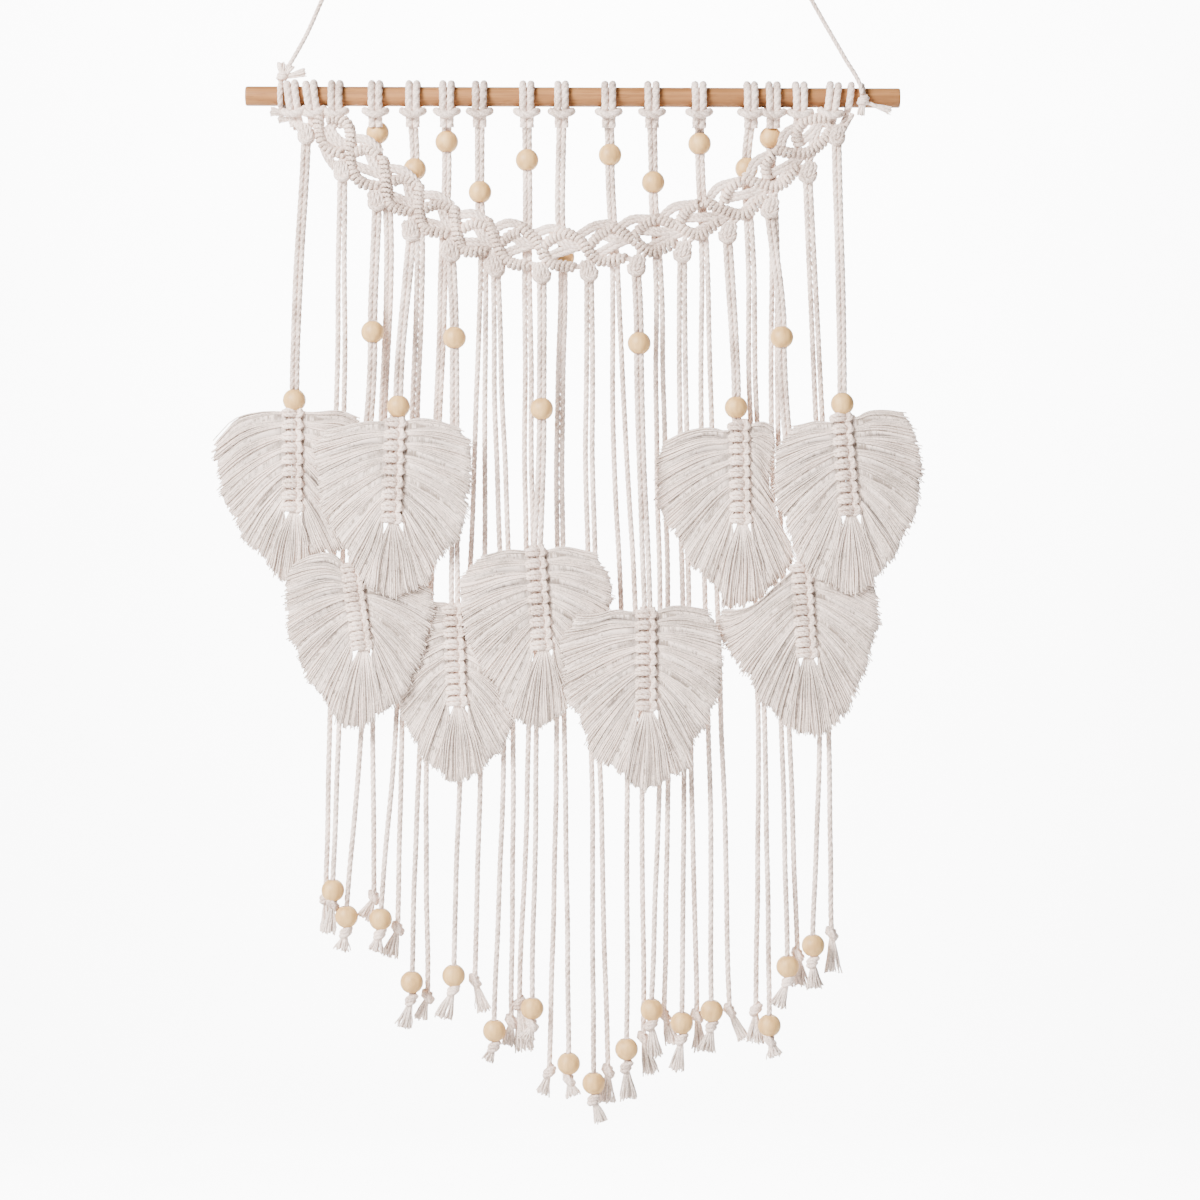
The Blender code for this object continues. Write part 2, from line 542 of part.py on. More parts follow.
def lock(bm, face, edge_pairs, y, straight):
    """One lock of the fringe. edge_pairs holds its two sides, each as root, middle and tip."""
    first, second = edge_pairs
    middle_y = sum(vert.co.y for vert in face.verts) / 4
    near_first = {}
    for vert in face.verts:
        here = Vector((vert.co.x / MM, vert.co.z / MM))
        near_first[vert] = (here - first[0]).length < (here - second[0]).length
    labels = [(near_first[vert], -1 if vert.co.y < middle_y else 1) for vert in face.verts]
    stages = ((2, 1),) if straight else ((1, 0), (2, 1))
    for stage, depth in stages:
        inset = (second[stage] - first[stage]) * LOCK_SPLIT
        sides = {True: first[stage] + inset, False: second[stage] - inset}
        targets = [place(sides[is_first].x, y + front * LOCK_HALF_DEPTH[depth], sides[is_first].y)
                   for is_first, front in labels]
        order = {tuple(round(c, 8) for c in vert.co): label for vert, label in zip(face.verts, labels)}
        new = bmesh.ops.extrude_discrete_faces(bm, faces=[face])["faces"][0]
        labels = [order[tuple(round(c, 8) for c in vert.co)] for vert in new.verts]
        for vert, (is_first, front) in zip(new.verts, labels):
            side = sides[is_first]
            vert.co = place(side.x, y + front * LOCK_HALF_DEPTH[depth], side.y)
        face = new


def leaf(row, finish):
    """A knotted spine with a fan of cut cord on both sides and at its foot."""
    name, _berry, layer, _bead, top, foot, outline = row
    y = LEAF_Y[layer]
    top, foot = Vector(top), Vector(foot)
    bm = bmesh.new()
    levels = []
    for level in range(SPINE_KNOTS + 1):
        centre = top.lerp(foot, level / SPINE_KNOTS)
        levels.append([bm.verts.new(place(centre.x + sx * SPINE_HALF_WIDTH, y + sy * SPINE_HALF_DEPTH, centre.y))
                       for sx, sy in ((-1, -1), (1, -1), (1, 1), (-1, 1))])
    bm.faces.new(levels[0])
    fronts, lefts, rights = [], [], []
    for above, below in zip(levels, levels[1:]):
        for number, group in enumerate((fronts, rights, None, lefts)):
            after = (number + 1) % 4
            face = bm.faces.new((above[number], above[after], below[after], below[number]))
            if group is not None:
                group.append(face)
    last = levels[-1]
    feet = []
    rails = []
    for share in range(FOOT_LOCKS + 1):
        if share == 0:
            rails.append((last[0], last[3]))
        elif share == FOOT_LOCKS:
            rails.append((last[1], last[2]))
        else:
            x = last[0].co.lerp(last[1].co, share / FOOT_LOCKS)
            rails.append((bm.verts.new((x.x, last[0].co.y, x.z)), bm.verts.new((x.x, last[3].co.y, x.z))))
    for (front_a, back_a), (front_b, back_b) in zip(rails, rails[1:]):
        feet.append(bm.faces.new((front_a, front_b, back_b, back_a)))
    # the lowest front and back faces take the foot's extra corners into their lower edges
    for group_index, rail_side in ((0, 0), (2, 1)):
        old = [face for face in last[group_index].link_faces
               if last[(group_index + 1) % 4] in face.verts and levels[-2][group_index] in face.verts][0]
        if old in fronts:
            fronts.remove(old)
        bm.faces.remove(old)
        bm.edges.remove(bm.edges.get((last[group_index], last[(group_index + 1) % 4])))
        lower = [rail[rail_side] for rail in rails]
        upper = [levels[-2][group_index], levels[-2][(group_index + 1) % 4]]
        if group_index == 2:
            lower = lower[::-1]
        face = bm.faces.new(upper + lower[::-1])
        if group_index == 0:
            fronts.append(face)

    def side_roots(sign):
        return [top.lerp(foot, level / SPINE_KNOTS) + Vector((sign * SPINE_HALF_WIDTH, 0))
                for level in range(SPINE_KNOTS + 1)]

    foot_roots = [Vector((rail[0].co.x / MM, rail[0].co.z / MM)) for rail in rails]
    fans = [(lefts, side_roots(-1), 0.0, 3.4), (feet, foot_roots, 3.4, 4.6),
            (rights[::-1], side_roots(1)[::-1], 4.6, 8.0)]
    for faces, roots, begin, end in fans:
        sides = []
        for number, root in enumerate(roots):
            tip = outline_point(outline, begin + (end - begin) * number / (len(roots) - 1))
            out = tip - root
            up = Vector((-out.y, out.x)) if out.x > 0 else Vector((out.y, -out.x))
            arch = up * LOCK_ARCH if faces is not feet else Vector((0, 0))
            sides.append((root, root + out * 0.5 + arch, tip))
        for number, face in enumerate(faces):
            from_top = number if faces is lefts else len(faces) - 1 - number
            straight = faces is feet or from_top < STRAIGHT_LOCKS
            lock(bm, face, (sides[number], sides[number + 1]), y, straight)
    bmesh.ops.inset_individual(bm, faces=fronts, thickness=1.3 * MM, depth=0.0)
    for face in fronts:
        for vert in face.verts:
            vert.co.y -= KNOT_PROUD * MM
    return add_object(name, mesh_from(bm, name), finish)


def smooth_route(points, spacing):
    """Points every spacing along a smooth curve through the route's own points."""
    curve = [Vector(point) for point in points]
    dense = []
    for index in range(len(curve) - 1):
        near = [curve[max(0, min(len(curve) - 1, index + step))] for step in (-1, 0, 1, 2)]
        for step in range(24):
            t = step / 24
            dense.append(0.5 * ((2 * near[1]) + (near[2] - near[0]) * t
                                + (2 * near[0] - 5 * near[1] + 4 * near[2] - near[3]) * t * t
                                + (3 * near[1] - near[0] - 3 * near[2] + near[3]) * t ** 3))
    dense.append(curve[-1])
    total = sum((b - a).length for a, b in zip(dense, dense[1:]))
    return walk([tuple(point) for point in dense], total / max(2, round(total / spacing)))


def hanger(side, row, finish):
    """One end of the hanger: the tie on the rod, the cord, and the loop out of sight above."""
    wraps = [wrap_mesh(f"wrap_{side}", row["wrap_x"], 1, half=3.6)]
    wraps.append(ball_mesh(f"knot_{side}", row["knot"], row["knot_half"], around=8, rings=5))
    for number, tail in enumerate(row["tails"]):
        wraps.append(tube_mesh(f"tail_{side}_{number}", tail, [HANGER_RADIUS] * (len(tail) - 1) + [1.9]))
    unite(f"tie_{side}", wraps, finish)
    cord = smooth_route(row["route"], 8.0)
    add_object(f"hanger_{side}", tube_curve(f"hanger_{side}", cord, [HANGER_RADIUS] * len(cord), 8), finish)
    centre = Vector(row["loop"])
    pull = (Vector(row["route"][-1]) - centre).normalized()
    bm = bmesh.new()
    bmesh.ops.create_circle(bm, segments=6, radius=HANGER_RADIUS * MM)
    bmesh.ops.transform(bm, matrix=Matrix.Translation((LOOP_RADIUS * MM, 0, 0)) @ Matrix.Rotation(math.pi / 2, 4, "X"),
                        verts=bm.verts[:])
    bmesh.ops.spin(bm, geom=bm.verts[:] + bm.edges[:], cent=(0, 0, 0), axis=(0, 0, 1),
                   angle=2 * math.pi, steps=12, use_merge=True)
    bmesh.ops.remove_doubles(bm, verts=bm.verts[:], dist=0.001 * MM)
    bmesh.ops.transform(bm, matrix=Matrix.Translation(place(*centre)) @ Matrix.Rotation(math.pi / 2, 4, "X"),
                        verts=bm.verts[:])
    ring = mesh_from(bm, f"ring_{side}")
    knot = centre + pull * LOOP_RADIUS
    unite(f"loop_{side}", [ring, ball_mesh(f"loop_knot_{side}", knot, LOOP_KNOT_HALF, around=8, rings=5)], finish)


def main():
    clear_scene()
    cotton, beech, pale_wood = (material(name) for name in ("cotton", "beech", "pale_wood"))
    rod(beech)
    beads(pale_wood)
    macrame(cotton)
    for row in LEAVES:
        leaf(row, cotton)
    for side, row in HANGERS.items():
        hanger(side, row, cotton)


main()
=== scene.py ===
import math
import random

import bmesh
import bpy
from mathutils import Matrix, Vector, noise


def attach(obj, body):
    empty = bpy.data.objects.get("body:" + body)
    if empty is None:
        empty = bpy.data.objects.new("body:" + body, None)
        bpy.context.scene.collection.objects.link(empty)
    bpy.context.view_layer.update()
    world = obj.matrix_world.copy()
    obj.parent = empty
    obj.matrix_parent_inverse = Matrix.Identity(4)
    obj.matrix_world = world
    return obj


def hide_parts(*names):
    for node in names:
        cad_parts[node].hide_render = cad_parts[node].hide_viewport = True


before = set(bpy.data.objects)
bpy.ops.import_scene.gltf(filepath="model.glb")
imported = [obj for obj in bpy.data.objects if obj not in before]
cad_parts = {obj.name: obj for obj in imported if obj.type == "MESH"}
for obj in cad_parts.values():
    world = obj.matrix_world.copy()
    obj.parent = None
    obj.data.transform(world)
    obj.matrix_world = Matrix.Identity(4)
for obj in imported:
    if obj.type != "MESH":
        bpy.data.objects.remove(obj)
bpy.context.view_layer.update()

mm = 0.001
dice = random.Random(7)
noise.seed_set(7)  # without a seed, noise_vector follows the clock and no two runs match

# Tables are in millimetres: x across, y depth with the front at -y, z up.
rodRadius = 7.5
rodLeft, rodRight = (-244.0, -115.5), (256.0, -117.0)
cordRadius = 2.15
pairHalf = 1.85
beadRadius = 8.8
boreRadius = 3.9
swagY = -9.3
swagTouchY = -5.0
rodPairY = 3.0
curtainY = 2.5
lowBeadY = -7.5
layerY = {"back": -9.0, "middle": -15.0, "front": -21.0}
leafTopZ, underLeafZ = -363.0, -604.0

# Strand pairs from the rod: head x, bead x, bead z, then x and z where they press on the swag
rodPairs = {
    "p1": (-144.5, -143.5, -143, -137.5, -182),
    "p2": (-116, -115, -171, -112.5, -198),
    "p3": (-90, -90.5, -150, -91.5, -219),
    "p4": (-65, -65, -188.5, -63, -232),
    "p5": (-29, -29, -164, -28.5, -242),
    "p6": (-2.5, -1.5, -238.5, -3, -219),
    "p7": (33.5, 34.5, -160, 38, -239),
    "p8": (66.5, 67.5, -181, 70.5, -232.5),
    "p9": (102.5, 103, -151.5, 105.5, -218),
    "p10": (142, 139, -170.5, 140, -202),
    "p11": (159, 157.5, -147, 158.5, -184),
}
# Long strands: the rod pair or berry they come from, x at the leaves' top, x under the leaves,
# end knot x and z, tip x and z, and the z of a bead near the end
strandRows = [
    (2, -175, -180, -183, -728, -181, -755, None), (2, -169, -173, -177, -732, -180, -755, -722),
    ("p1", -141, -156, -167, -754, -170, -768, -742), ("p1", -138, -147, -146, -728, -154, -745, None),
    ("p2", -117, -130, -141, -755, -145, -769, -744), ("p2", -113, -125, -128, -752, -134, -774, None),
    ("p3", -99, -111, -117, -805, -123, -827, -792), ("p3", -96, -106, -105, -804, -111, -822, None),
    ("p4", -68, -79, -85, -798, -93, -820, -787), ("p4", -61, -64, -69, -792, -62, -816, None),
    (6, -53, -47, -54, -841, -59, -852, -829), (6, -47, -40, -41, -823, -43, -842, None),
    ("p5", -31, -28, -35, -809, -31, -847, None), ("p5", -26, -22, -25, -824, -29, -836, -812),
    ("p6", -6, -6, -12, -862, -18, -879, None), ("p6", -2, 0, 3, -866, 7, -879, -854),
    (8, 16, 20, 22, -881, 28, -899, -869), (8, 21, 26, 33, -861, 31, -886, None),
    ("p7", 37, 47, 47, -856, 49, -882, -843), ("p7", 46, 58, 60, -836, 66, -864, None),
    ("p8", 70, 73, 66, -824, 69, -850, -813), ("p8", 76, 79, 76, -818, 83, -841, None),
    (10, 88, 91, 89, -835, 85, -860, -823), (10, 93, 96, 101, -819, 104, -846, None),
    ("p9", 104, 110, 112, -825, 108, -845, -814), ("p9", 112, 120, 126, -815, 137, -837, None),
    ("p10", 142, 148, 146, -814, 145, -840, None), ("p10", 147, 153, 156, -836, 161, -849, -825),
    ("p11", 158, 166, 170, -791, 161, -811, -780), ("p11", 163, 172, 178, -772, 180, -797, None),
    (13, 192, 195, 189, -776, 191, -797, -764), (13, 197, 202, 204, -756, 205, -786, None),
]

# Leaves: the berry each hangs from, its layer and bead, the ends of its spine, and its outline.
# left and right run from the spine's top to the lowest point, low. shoulders gives the number
# of the point on each side where the cut edge begins.
leafRows = [
    {"name": "leaf_1", "shoulders": (2, 2), "berry": 1, "layer": "back",
     "bead": (-206, -348.5), "top": (-206, -358), "foot": (-206, -430), "low": (-213, -488),
     "left": [(-230, -357), (-252, -363), (-267, -378), (-268, -390), (-264, -407), (-261, -421),
              (-253, -438), (-244, -456), (-230, -469), (-218, -485)],
     "right": [(-190, -357), (-168, -357), (-156, -361), (-154, -378), (-163, -400), (-175, -424),
               (-170, -463), (-186, -466)]},
    {"name": "leaf_2", "shoulders": (1, 2), "berry": 4, "layer": "front",
     "bead": (-126, -354), "top": (-127, -366), "foot": (-130, -439), "low": (-128, -500),
     "left": [(-149, -365), (-180, -371), (-189, -381), (-188, -409), (-182, -438), (-174, -450),
              (-165, -466), (-154, -485), (-147, -493)],
     "right": [(-113, -363), (-98, -364), (-83, -369), (-77, -375), (-72, -382), (-70, -394), (-72, -414),
               (-75, -440), (-80, -453), (-92, -469), (-99, -477), (-101, -485), (-118, -495)]},
    {"name": "leaf_3", "shoulders": (2, 1), "berry": 3, "layer": "middle",
     "bead": (-146, -297), "top": (-161, -476), "foot": (-153, -535), "low": (-157, -599),
     "left": [(-177, -465), (-193, -466), (-203, -472), (-210, -480), (-213, -494), (-212, -513),
              (-212, -524), (-206, -537), (-200, -553), (-194, -564), (-187, -573), (-180, -581),
              (-171, -596)],
     "right": [(-135, -470), (-112, -480), (-101, -494), (-99, -504), (-104, -531), (-109, -547),
               (-115, -562), (-128, -580), (-133, -583), (-143, -589), (-150, -596)]},
    {"name": "leaf_4", "shoulders": (2, 1), "berry": 5, "layer": "back",
     "bead": (-84, -301), "top": (-84, -508), "foot": (-81, -578), "low": (-78, -640),
     "left": [(-89, -504), (-98, -502), (-121, -510), (-128, -535), (-128, -579), (-122, -597),
              (-112, -611), (-109, -624), (-98, -630), (-88, -639)],
     "right": [(-66, -504), (-44, -512), (-37, -539), (-37, -593), (-42, -603), (-47, -615), (-56, -624),
               (-68, -635)]},
    {"name": "leaf_5", "shoulders": (2, 2), "berry": 7, "layer": "middle",
     "bead": (-17.5, -355.5), "top": (-21, -464), "foot": (-16, -535), "low": (-18, -598),
     "left": [(-29, -463), (-44, -462), (-61, -467), (-73, -478), (-80, -487), (-80, -499), (-78, -521),
              (-72, -538), (-60, -557), (-50, -573), (-46, -583), (-33, -594)],
     "right": [(-2, -460), (13, -463), (23, -466), (31, -476), (36, -487), (36, -508), (27, -539),
               (18, -560), (10, -574), (2, -583), (-8, -592)]},
    {"name": "leaf_6", "shoulders": (3, 3), "berry": 9, "layer": "front",
     "bead": (56.5, -306), "top": (63, -511), "foot": (63, -581), "low": (63, -646),
     "left": [(48, -509), (38, -508), (26, -511), (9, -512), (-4, -534), (-1, -560), (2, -578), (5, -584),
              (12, -593), (18, -616), (21, -621), (30, -626), (42, -633), (50, -642)],
     "right": [(70, -509), (82, -505), (97, -506), (108, -508), (115, -520), (120, -534), (119, -550),
               (118, -569), (112, -583), (108, -596), (99, -609), (96, -621), (93, -631), (82, -635),
               (72, -641)]},
    {"name": "leaf_7", "shoulders": (3, 1), "berry": 11, "layer": "back",
     "bead": (130.5, -354), "top": (134, -368), "foot": (135, -439), "low": (131, -508),
     "left": [(125, -371), (113, -369), (91, -372), (76, -379), (71, -388), (70, -401), (71, -428),
              (78, -444), (86, -456), (97, -475), (110, -487), (118, -496), (120, -507)],
     "right": [(148, -365), (159, -367), (161, -378), (158, -391), (157, -412), (159, -430), (168, -450),
               (176, -467), (160, -490), (145, -502)]},
    {"name": "leaf_8", "shoulders": (2, 3), "berry": 14, "layer": "front",
     "bead": (210.5, -352), "top": (211, -362), "foot": (217, -433), "low": (222, -497),
     "left": [(205, -364), (191, -365), (174, -369), (165, -378), (160, -386), (158, -407), (160, -426),
              (167, -443), (177, -469), (189, -483), (200, -488), (212, -496)],
     "right": [(220, -362), (229, -358), (243, -357), (257, -359), (262, -367), (268, -381), (271, -401),
               (270, -417), (267, -433), (260, -450), (254, -463), (243, -478), (235, -486)]},
    {"name": "leaf_9", "shoulders": (4, 1), "berry": 12, "layer": "middle",
     "bead": (165, -301), "top": (181, -476), "foot": (185, -541), "low": (189, -605),
     "left": [(171, -480), (158, -492), (148, -502), (133, -508), (122, -508), (119, -512), (119, -531),
              (122, -537), (128, -547), (138, -560), (145, -570), (149, -579), (157, -586), (166, -595),
              (175, -600)],
     "right": [(200, -476), (234, -488), (238, -495), (239, -505), (239, -521), (235, -536), (231, -550),
               (227, -563), (220, -576), (214, -588), (203, -598), (196, -604)]},
]


# A shader socket that can be added, multiplied and fed to other nodes
class Signal:
    def __init__(self, tree, socket):
        self.tree, self.socket = tree, socket

    def node(self, kind, inputs, output=0, **settings):
        made = self.tree.nodes.new(kind)
        for key, value in settings.items():
            setattr(made, key, value)
        for key, value in inputs.items():
            if isinstance(value, Signal):
                self.tree.links.new(value.socket, made.inputs[key])
            else:
                made.inputs[key].default_value = value
        return Signal(self.tree, made.outputs[output])

    def math(self, operation, *values):
        return self.node("ShaderNodeMath", dict(enumerate(values)), operation=operation)

    def __add__(self, other):
        return self.math("ADD", self, other)

    def __sub__(self, other):
        return self.math("SUBTRACT", self, other)

    def __mul__(self, other):
        return self.math("MULTIPLY", self, other)

    __radd__, __rmul__ = __add__, __mul__

    def stretched(self, x, y, z):
        return self.node("ShaderNodeMapping", {"Vector": self, "Scale": (x, y, z)})

    def grain(self, scale, detail=3.0):
        inputs = {"Vector": self, "Scale": scale, "Detail": detail, "Roughness": 0.55}
        return self.node("ShaderNodeTexNoise", inputs)

    def cosine(self):
        return self.math("COSINE", self)

    def ramp(self, low, high):
        return self.node("ShaderNodeMapRange", {"Value": self, "From Min": low, "From Max": high})

    def mix(self, first, second):
        return self.node("ShaderNodeMix", {"Factor": self, 6: first, 7: second}, output=2, data_type="RGBA")


# A new material, its shader and the place signal its patterns are made from
def finish(name, roughness, sheen=0.0):
    made = bpy.data.materials.new(name)
    made.use_nodes = True
    tree = made.node_tree
    shader = tree.nodes["Principled BSDF"]
    shader.inputs["Roughness"].default_value = roughness
    shader.inputs["Sheen Weight"].default_value = sheen
    return made, shader, Signal(tree, None).node("ShaderNodeTexCoord", {}, output="Object")


# Feeds the shader. Height goes in as bump
def wire(shader, colour=None, roughness=None, height=None, strength=0.3, reach=0.0004):
    source = colour or roughness or height
    tree = source.tree
    if colour:
        tree.links.new(colour.socket, shader.inputs["Base Color"])
    if roughness:
        tree.links.new(roughness.socket, shader.inputs["Roughness"])
    if height:
        bump = height.node("ShaderNodeBump", {"Strength": strength, "Distance": reach, "Height": height})
        tree.links.new(bump.socket, shader.inputs["Normal"])


# Cotton thread. Where it is laid up as cord, the grooves between its three strands are darker: painted shade
def cottonFinish(name, light, shade, fine, laid=False):
    made, shader, spot = finish(name, 0.95, sheen=0.06)
    threads = spot.grain(fine, detail=4.0)
    patches = spot.grain(38.0, detail=2.0)
    tone = (threads * 0.6 + patches * 0.4).ramp(0.34, 0.6)
    if laid:
        place = spot.node("ShaderNodeTexCoord", {}, output="UV")
        around = spot.node("ShaderNodeSeparateXYZ", {"Vector": place}, output=1)
        groove = (around * 6 * math.pi).cosine()
        # painted shade: the colour darkens along the grooves between the strands
        tone = tone - groove.ramp(0.2, 1.0) * 0.21
        wire(shader, colour=tone.mix(shade, light), height=threads * 0.5 - groove * 0.5,
             strength=0.5, reach=0.0006)
    else:
        wire(shader, colour=tone.mix(shade, light), height=threads, strength=0.35, reach=0.0003)
    return made


# Combed cord: fine lines along the threads, and painted shadow where the sheet's depth layer marks valleys,
# openings beside the knots and the roots at the spine; deep is the painted shadow's colour
def combedFinish(name, light, shade, deep):
    made, shader, spot = finish(name, 0.95, sheen=0.06)
    place = spot.node("ShaderNodeTexCoord", {}, output="UV")
    kinks = place.stretched(0.13, 9, 1).grain(1.0, detail=2.0)
    bent = place.node("ShaderNodeVectorMath", {0: place, 1: kinks * 2.4}, operation="ADD")
    lines = bent.stretched(0.9, 1.2, 1).grain(1.0, detail=2.0)
    hairs = bent.stretched(2.4, 5.0, 1).grain(1.0, detail=3.0)
    tone = (lines * 0.45 + hairs * 0.55).ramp(0.4, 0.53)
    # the depth layer holds painted shade; deep is its near-black colour
    depth = spot.node("ShaderNodeVertexColor", {}, layer_name="depth")
    wire(shader, colour=depth.mix(tone.mix(shade, light), deep), height=hairs, strength=0.5, reach=0.0004)
    return made


# Beech: long fibres with short darker flecks
def beechFinish():
    made, shader, spot = finish("beech", 0.6)
    shader.inputs["Specular IOR Level"].default_value = 0.22
    fibres = spot.stretched(9, 260, 260).grain(1.6, detail=5.0)
    bands = spot.stretched(3, 60, 60).grain(1.1, detail=2.0)
    flecks = spot.stretched(85, 900, 900).grain(1.0, detail=1.0).ramp(0.62, 0.7)
    tone = (fibres * 0.55 + bands * 0.45).ramp(0.38, 0.62)
    ground = tone.mix((0.19, 0.077, 0.023, 1), (0.32, 0.142, 0.048, 1))
    wire(shader, colour=(flecks * 0.5).mix(ground, (0.16, 0.06, 0.015, 1)), roughness=0.44 + fibres * 0.22,
         height=fibres, strength=0.2, reach=0.0002)
    return made


# The beads' pale wood
def paleFinish():
    made, shader, spot = finish("pale_wood", 0.5)
    rings = spot.stretched(150, 150, 32).grain(1.5, detail=4.0)
    pores = spot.stretched(1100, 1100, 240).grain(1.0, detail=2.0).ramp(0.6, 0.72)
    ground = rings.ramp(0.36, 0.64).mix((0.52, 0.29, 0.095, 1), (0.69, 0.42, 0.153, 1))
    wire(shader, colour=(pores * 0.25).mix(ground, (0.58, 0.39, 0.22, 1)), roughness=0.4 + rings * 0.25,
         height=rings, strength=0.12, reach=0.0002)
    return made


# Puts a piece in the scene, rides it on the body and stands it for its CAD nodes
def shown(name, data, material, nodes):
    piece = bpy.data.objects.new(name, data)
    bpy.context.scene.collection.objects.link(piece)
    data.materials.append(material)
    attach(piece, "root")
    if nodes:
        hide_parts(*nodes)
    return piece


def rodZ(x):
    share = (x - rodLeft[0]) / (rodRight[0] - rodLeft[0])
    return rodLeft[1] + share * (rodRight[1] - rodLeft[1])


# Even steps along a smooth line through the points
def smooth(points, step):
    spots = [Vector(point) for point in points]
    gaps = [max((b - a).length, 1e-6) for a, b in zip(spots, spots[1:])]
    slopes = [(b - a) / gap for a, b, gap in zip(spots, spots[1:], gaps)]
    bends = [slopes[0]]
    for i in range(1, len(slopes)):
        bends.append((slopes[i - 1] * gaps[i] + slopes[i] * gaps[i - 1]) / (gaps[i - 1] + gaps[i]))
    bends.append(slopes[-1])
    made = []
    for i, gap in enumerate(gaps):
        count = max(1, round(gap / step))
        for n in range(count):
            t = n / count
            made.append(spots[i] * (2 * t ** 3 - 3 * t * t + 1) + bends[i] * gap * (t ** 3 - 2 * t * t + t)
                        + spots[i + 1] * (3 * t * t - 2 * t ** 3) + bends[i + 1] * gap * (t ** 3 - t * t))
    made.append(spots[-1])
    return made


# Slow sideways drift, none at the two ends
def wander(spots, seed, reach, length=70.0):
    run, total = 0.0, sum((b - a).length for a, b in zip(spots, spots[1:]))
    made = [spots[0]]
    for a, b in zip(spots, spots[1:]):
        run += (b - a).length
        ends = min(1.0, run / 25, max(0.0, total - run) / 25)
        drift = noise.noise_vector((run / length, seed * 3.7, 0.5))
        made.append(b + Vector((drift.x, drift.y * 0.5, 0)) * reach * ends)
    return made


# The section of a cord laid up from three strands, to be swept and twisted
def lobedProfile(name, valley):
    shape = bpy.data.curves.new(name, "CURVE")
    shape.dimensions = "2D"
    shape.fill_mode = "NONE"
    ring = shape.splines.new("POLY")
    ring.points.add(8)
    for number, point in enumerate(ring.points):
        angle = -2 * math.pi * number / 9
        reach = valley if number % 3 == 0 else 1.0
        point.co = (math.cos(angle) * reach * mm, math.sin(angle) * reach * mm, 0, 1)
    ring.use_cyclic_u = True
    return bpy.data.objects.new(name, shape)


cordProfile = lobedProfile("cord_profile", 0.8)
firmProfile = lobedProfile("firm_profile", 0.87)


def cordCurve(name, profile=None, depth=0.0):
    curve = bpy.data.curves.new(name, "CURVE")
    curve.dimensions = "3D"
    curve.use_fill_caps = True
    if profile:
        curve.bevel_mode = "OBJECT"
        curve.bevel_object = profile
    else:
        curve.bevel_depth = depth * mm
        curve.bevel_resolution = 0
    return curve


# Adds one cord to a curve, twisted once for each pitch. Radius may be one for each point
def lay(curve, spots, radius, pitch=17.0, phase=0.0, closed=False):
    spline = curve.splines.new("POLY")
    spline.points.add(len(spots) - 1)
    run, last = 0.0, spots[0]
    for number, (point, spot) in enumerate(zip(spline.points, spots)):
        run += (spot - last).length
        last = spot
        point.co = (*(spot * mm), 1.0)
        point.radius = radius[number] if isinstance(radius, list) else radius
        point.tilt = (phase + 2 * math.pi * run / pitch) % (2 * math.pi) if pitch else 0.0
    spline.use_cyclic_u = closed


# Adds one cord along a smooth line through a few points
def strung(curve, points, step, radius, **twist):
    lay(curve, smooth(points, step), radius, **twist)


# The place at a share of the way along a run of straight lines
def along(points, share):
    spots = [Vector(point) for point in points]
    lengths = [(b - a).length for a, b in zip(spots, spots[1:])]
    left = sum(lengths) * share
    for a, b, length in zip(spots, spots[1:], lengths):
        if left <= length:
            return a.lerp(b, left / length)
        left -= length
    return spots[-1]


# Sets any bmesh out as a smooth mesh.
def meshFrom(bm, name):
    mesh = bpy.data.meshes.new(name)
    bm.to_mesh(mesh)
    bm.free()
    mesh.shade_smooth()
    return mesh


# Camera: its place and the width it sees at the rod in metres, its sensor in millimetres
lens = {"place": (0.0268, -2.5, -0.5007), "view": 0.9174, "sensor": 36.0}
cameraData = bpy.data.cameras.new("camera")
cameraData.sensor_width = lens["sensor"]
cameraData.lens = lens["sensor"] * -lens["place"][1] / lens["view"]
cameraData.clip_end = 30
camera = bpy.data.objects.new("camera", cameraData)
camera.location = lens["place"]
camera.rotation_euler = (math.pi / 2, 0, 0)
bpy.context.scene.collection.objects.link(camera)
bpy.context.scene.camera = camera


# A pale floor that sweeps up into a wall well behind the piece
def backdrop():
    sweep = {"floor": -1.35, "front": -4.5, "bend": 2.9, "radius": 0.8, "top": 3.4, "half": 5.5}
    bm = bmesh.new()
    outline = [(sweep["front"], sweep["floor"])]
    for number in range(13):
        angle = math.pi / 2 * number / 12
        outline.append((sweep["bend"] + sweep["radius"] * math.sin(angle),
                        sweep["floor"] + sweep["radius"] * (1 - math.cos(angle))))
    outline.append((sweep["bend"] + sweep["radius"], sweep["top"]))
    edge = [bm.verts.new((-sweep["half"], y, z)) for y, z in outline]
    lines = [bm.edges.new(pair) for pair in zip(edge, edge[1:])]
    made = bmesh.ops.extrude_edge_only(bm, edges=lines)["geom"]
    bmesh.ops.translate(bm, verts=[v for v in made if isinstance(v, bmesh.types.BMVert)],
                        vec=(2 * sweep["half"], 0, 0))
    mesh = meshFrom(bm, "backdrop")
    floor = bpy.data.objects.new("backdrop", mesh)
    bpy.context.scene.collection.objects.link(floor)
    paper, shader, spot = finish("backdrop", 0.9)
    wire(shader, colour=spot.grain(3.0).ramp(0.3, 0.7).mix((0.87, 0.87, 0.87, 1), (0.9, 0.9, 0.9, 1)))
    mesh.materials.append(paper)


def lamp(name, spot, aim, size, power, seen=True):
    light = bpy.data.lights.new(name, "AREA")
    light.size, light.energy = size, power
    made = bpy.data.objects.new(name, light)
    made.visible_camera = seen
    made.location = spot
    made.rotation_euler = (Vector(aim) - Vector(spot)).to_track_quat("-Z", "Y").to_euler()
    bpy.context.scene.collection.objects.link(made)


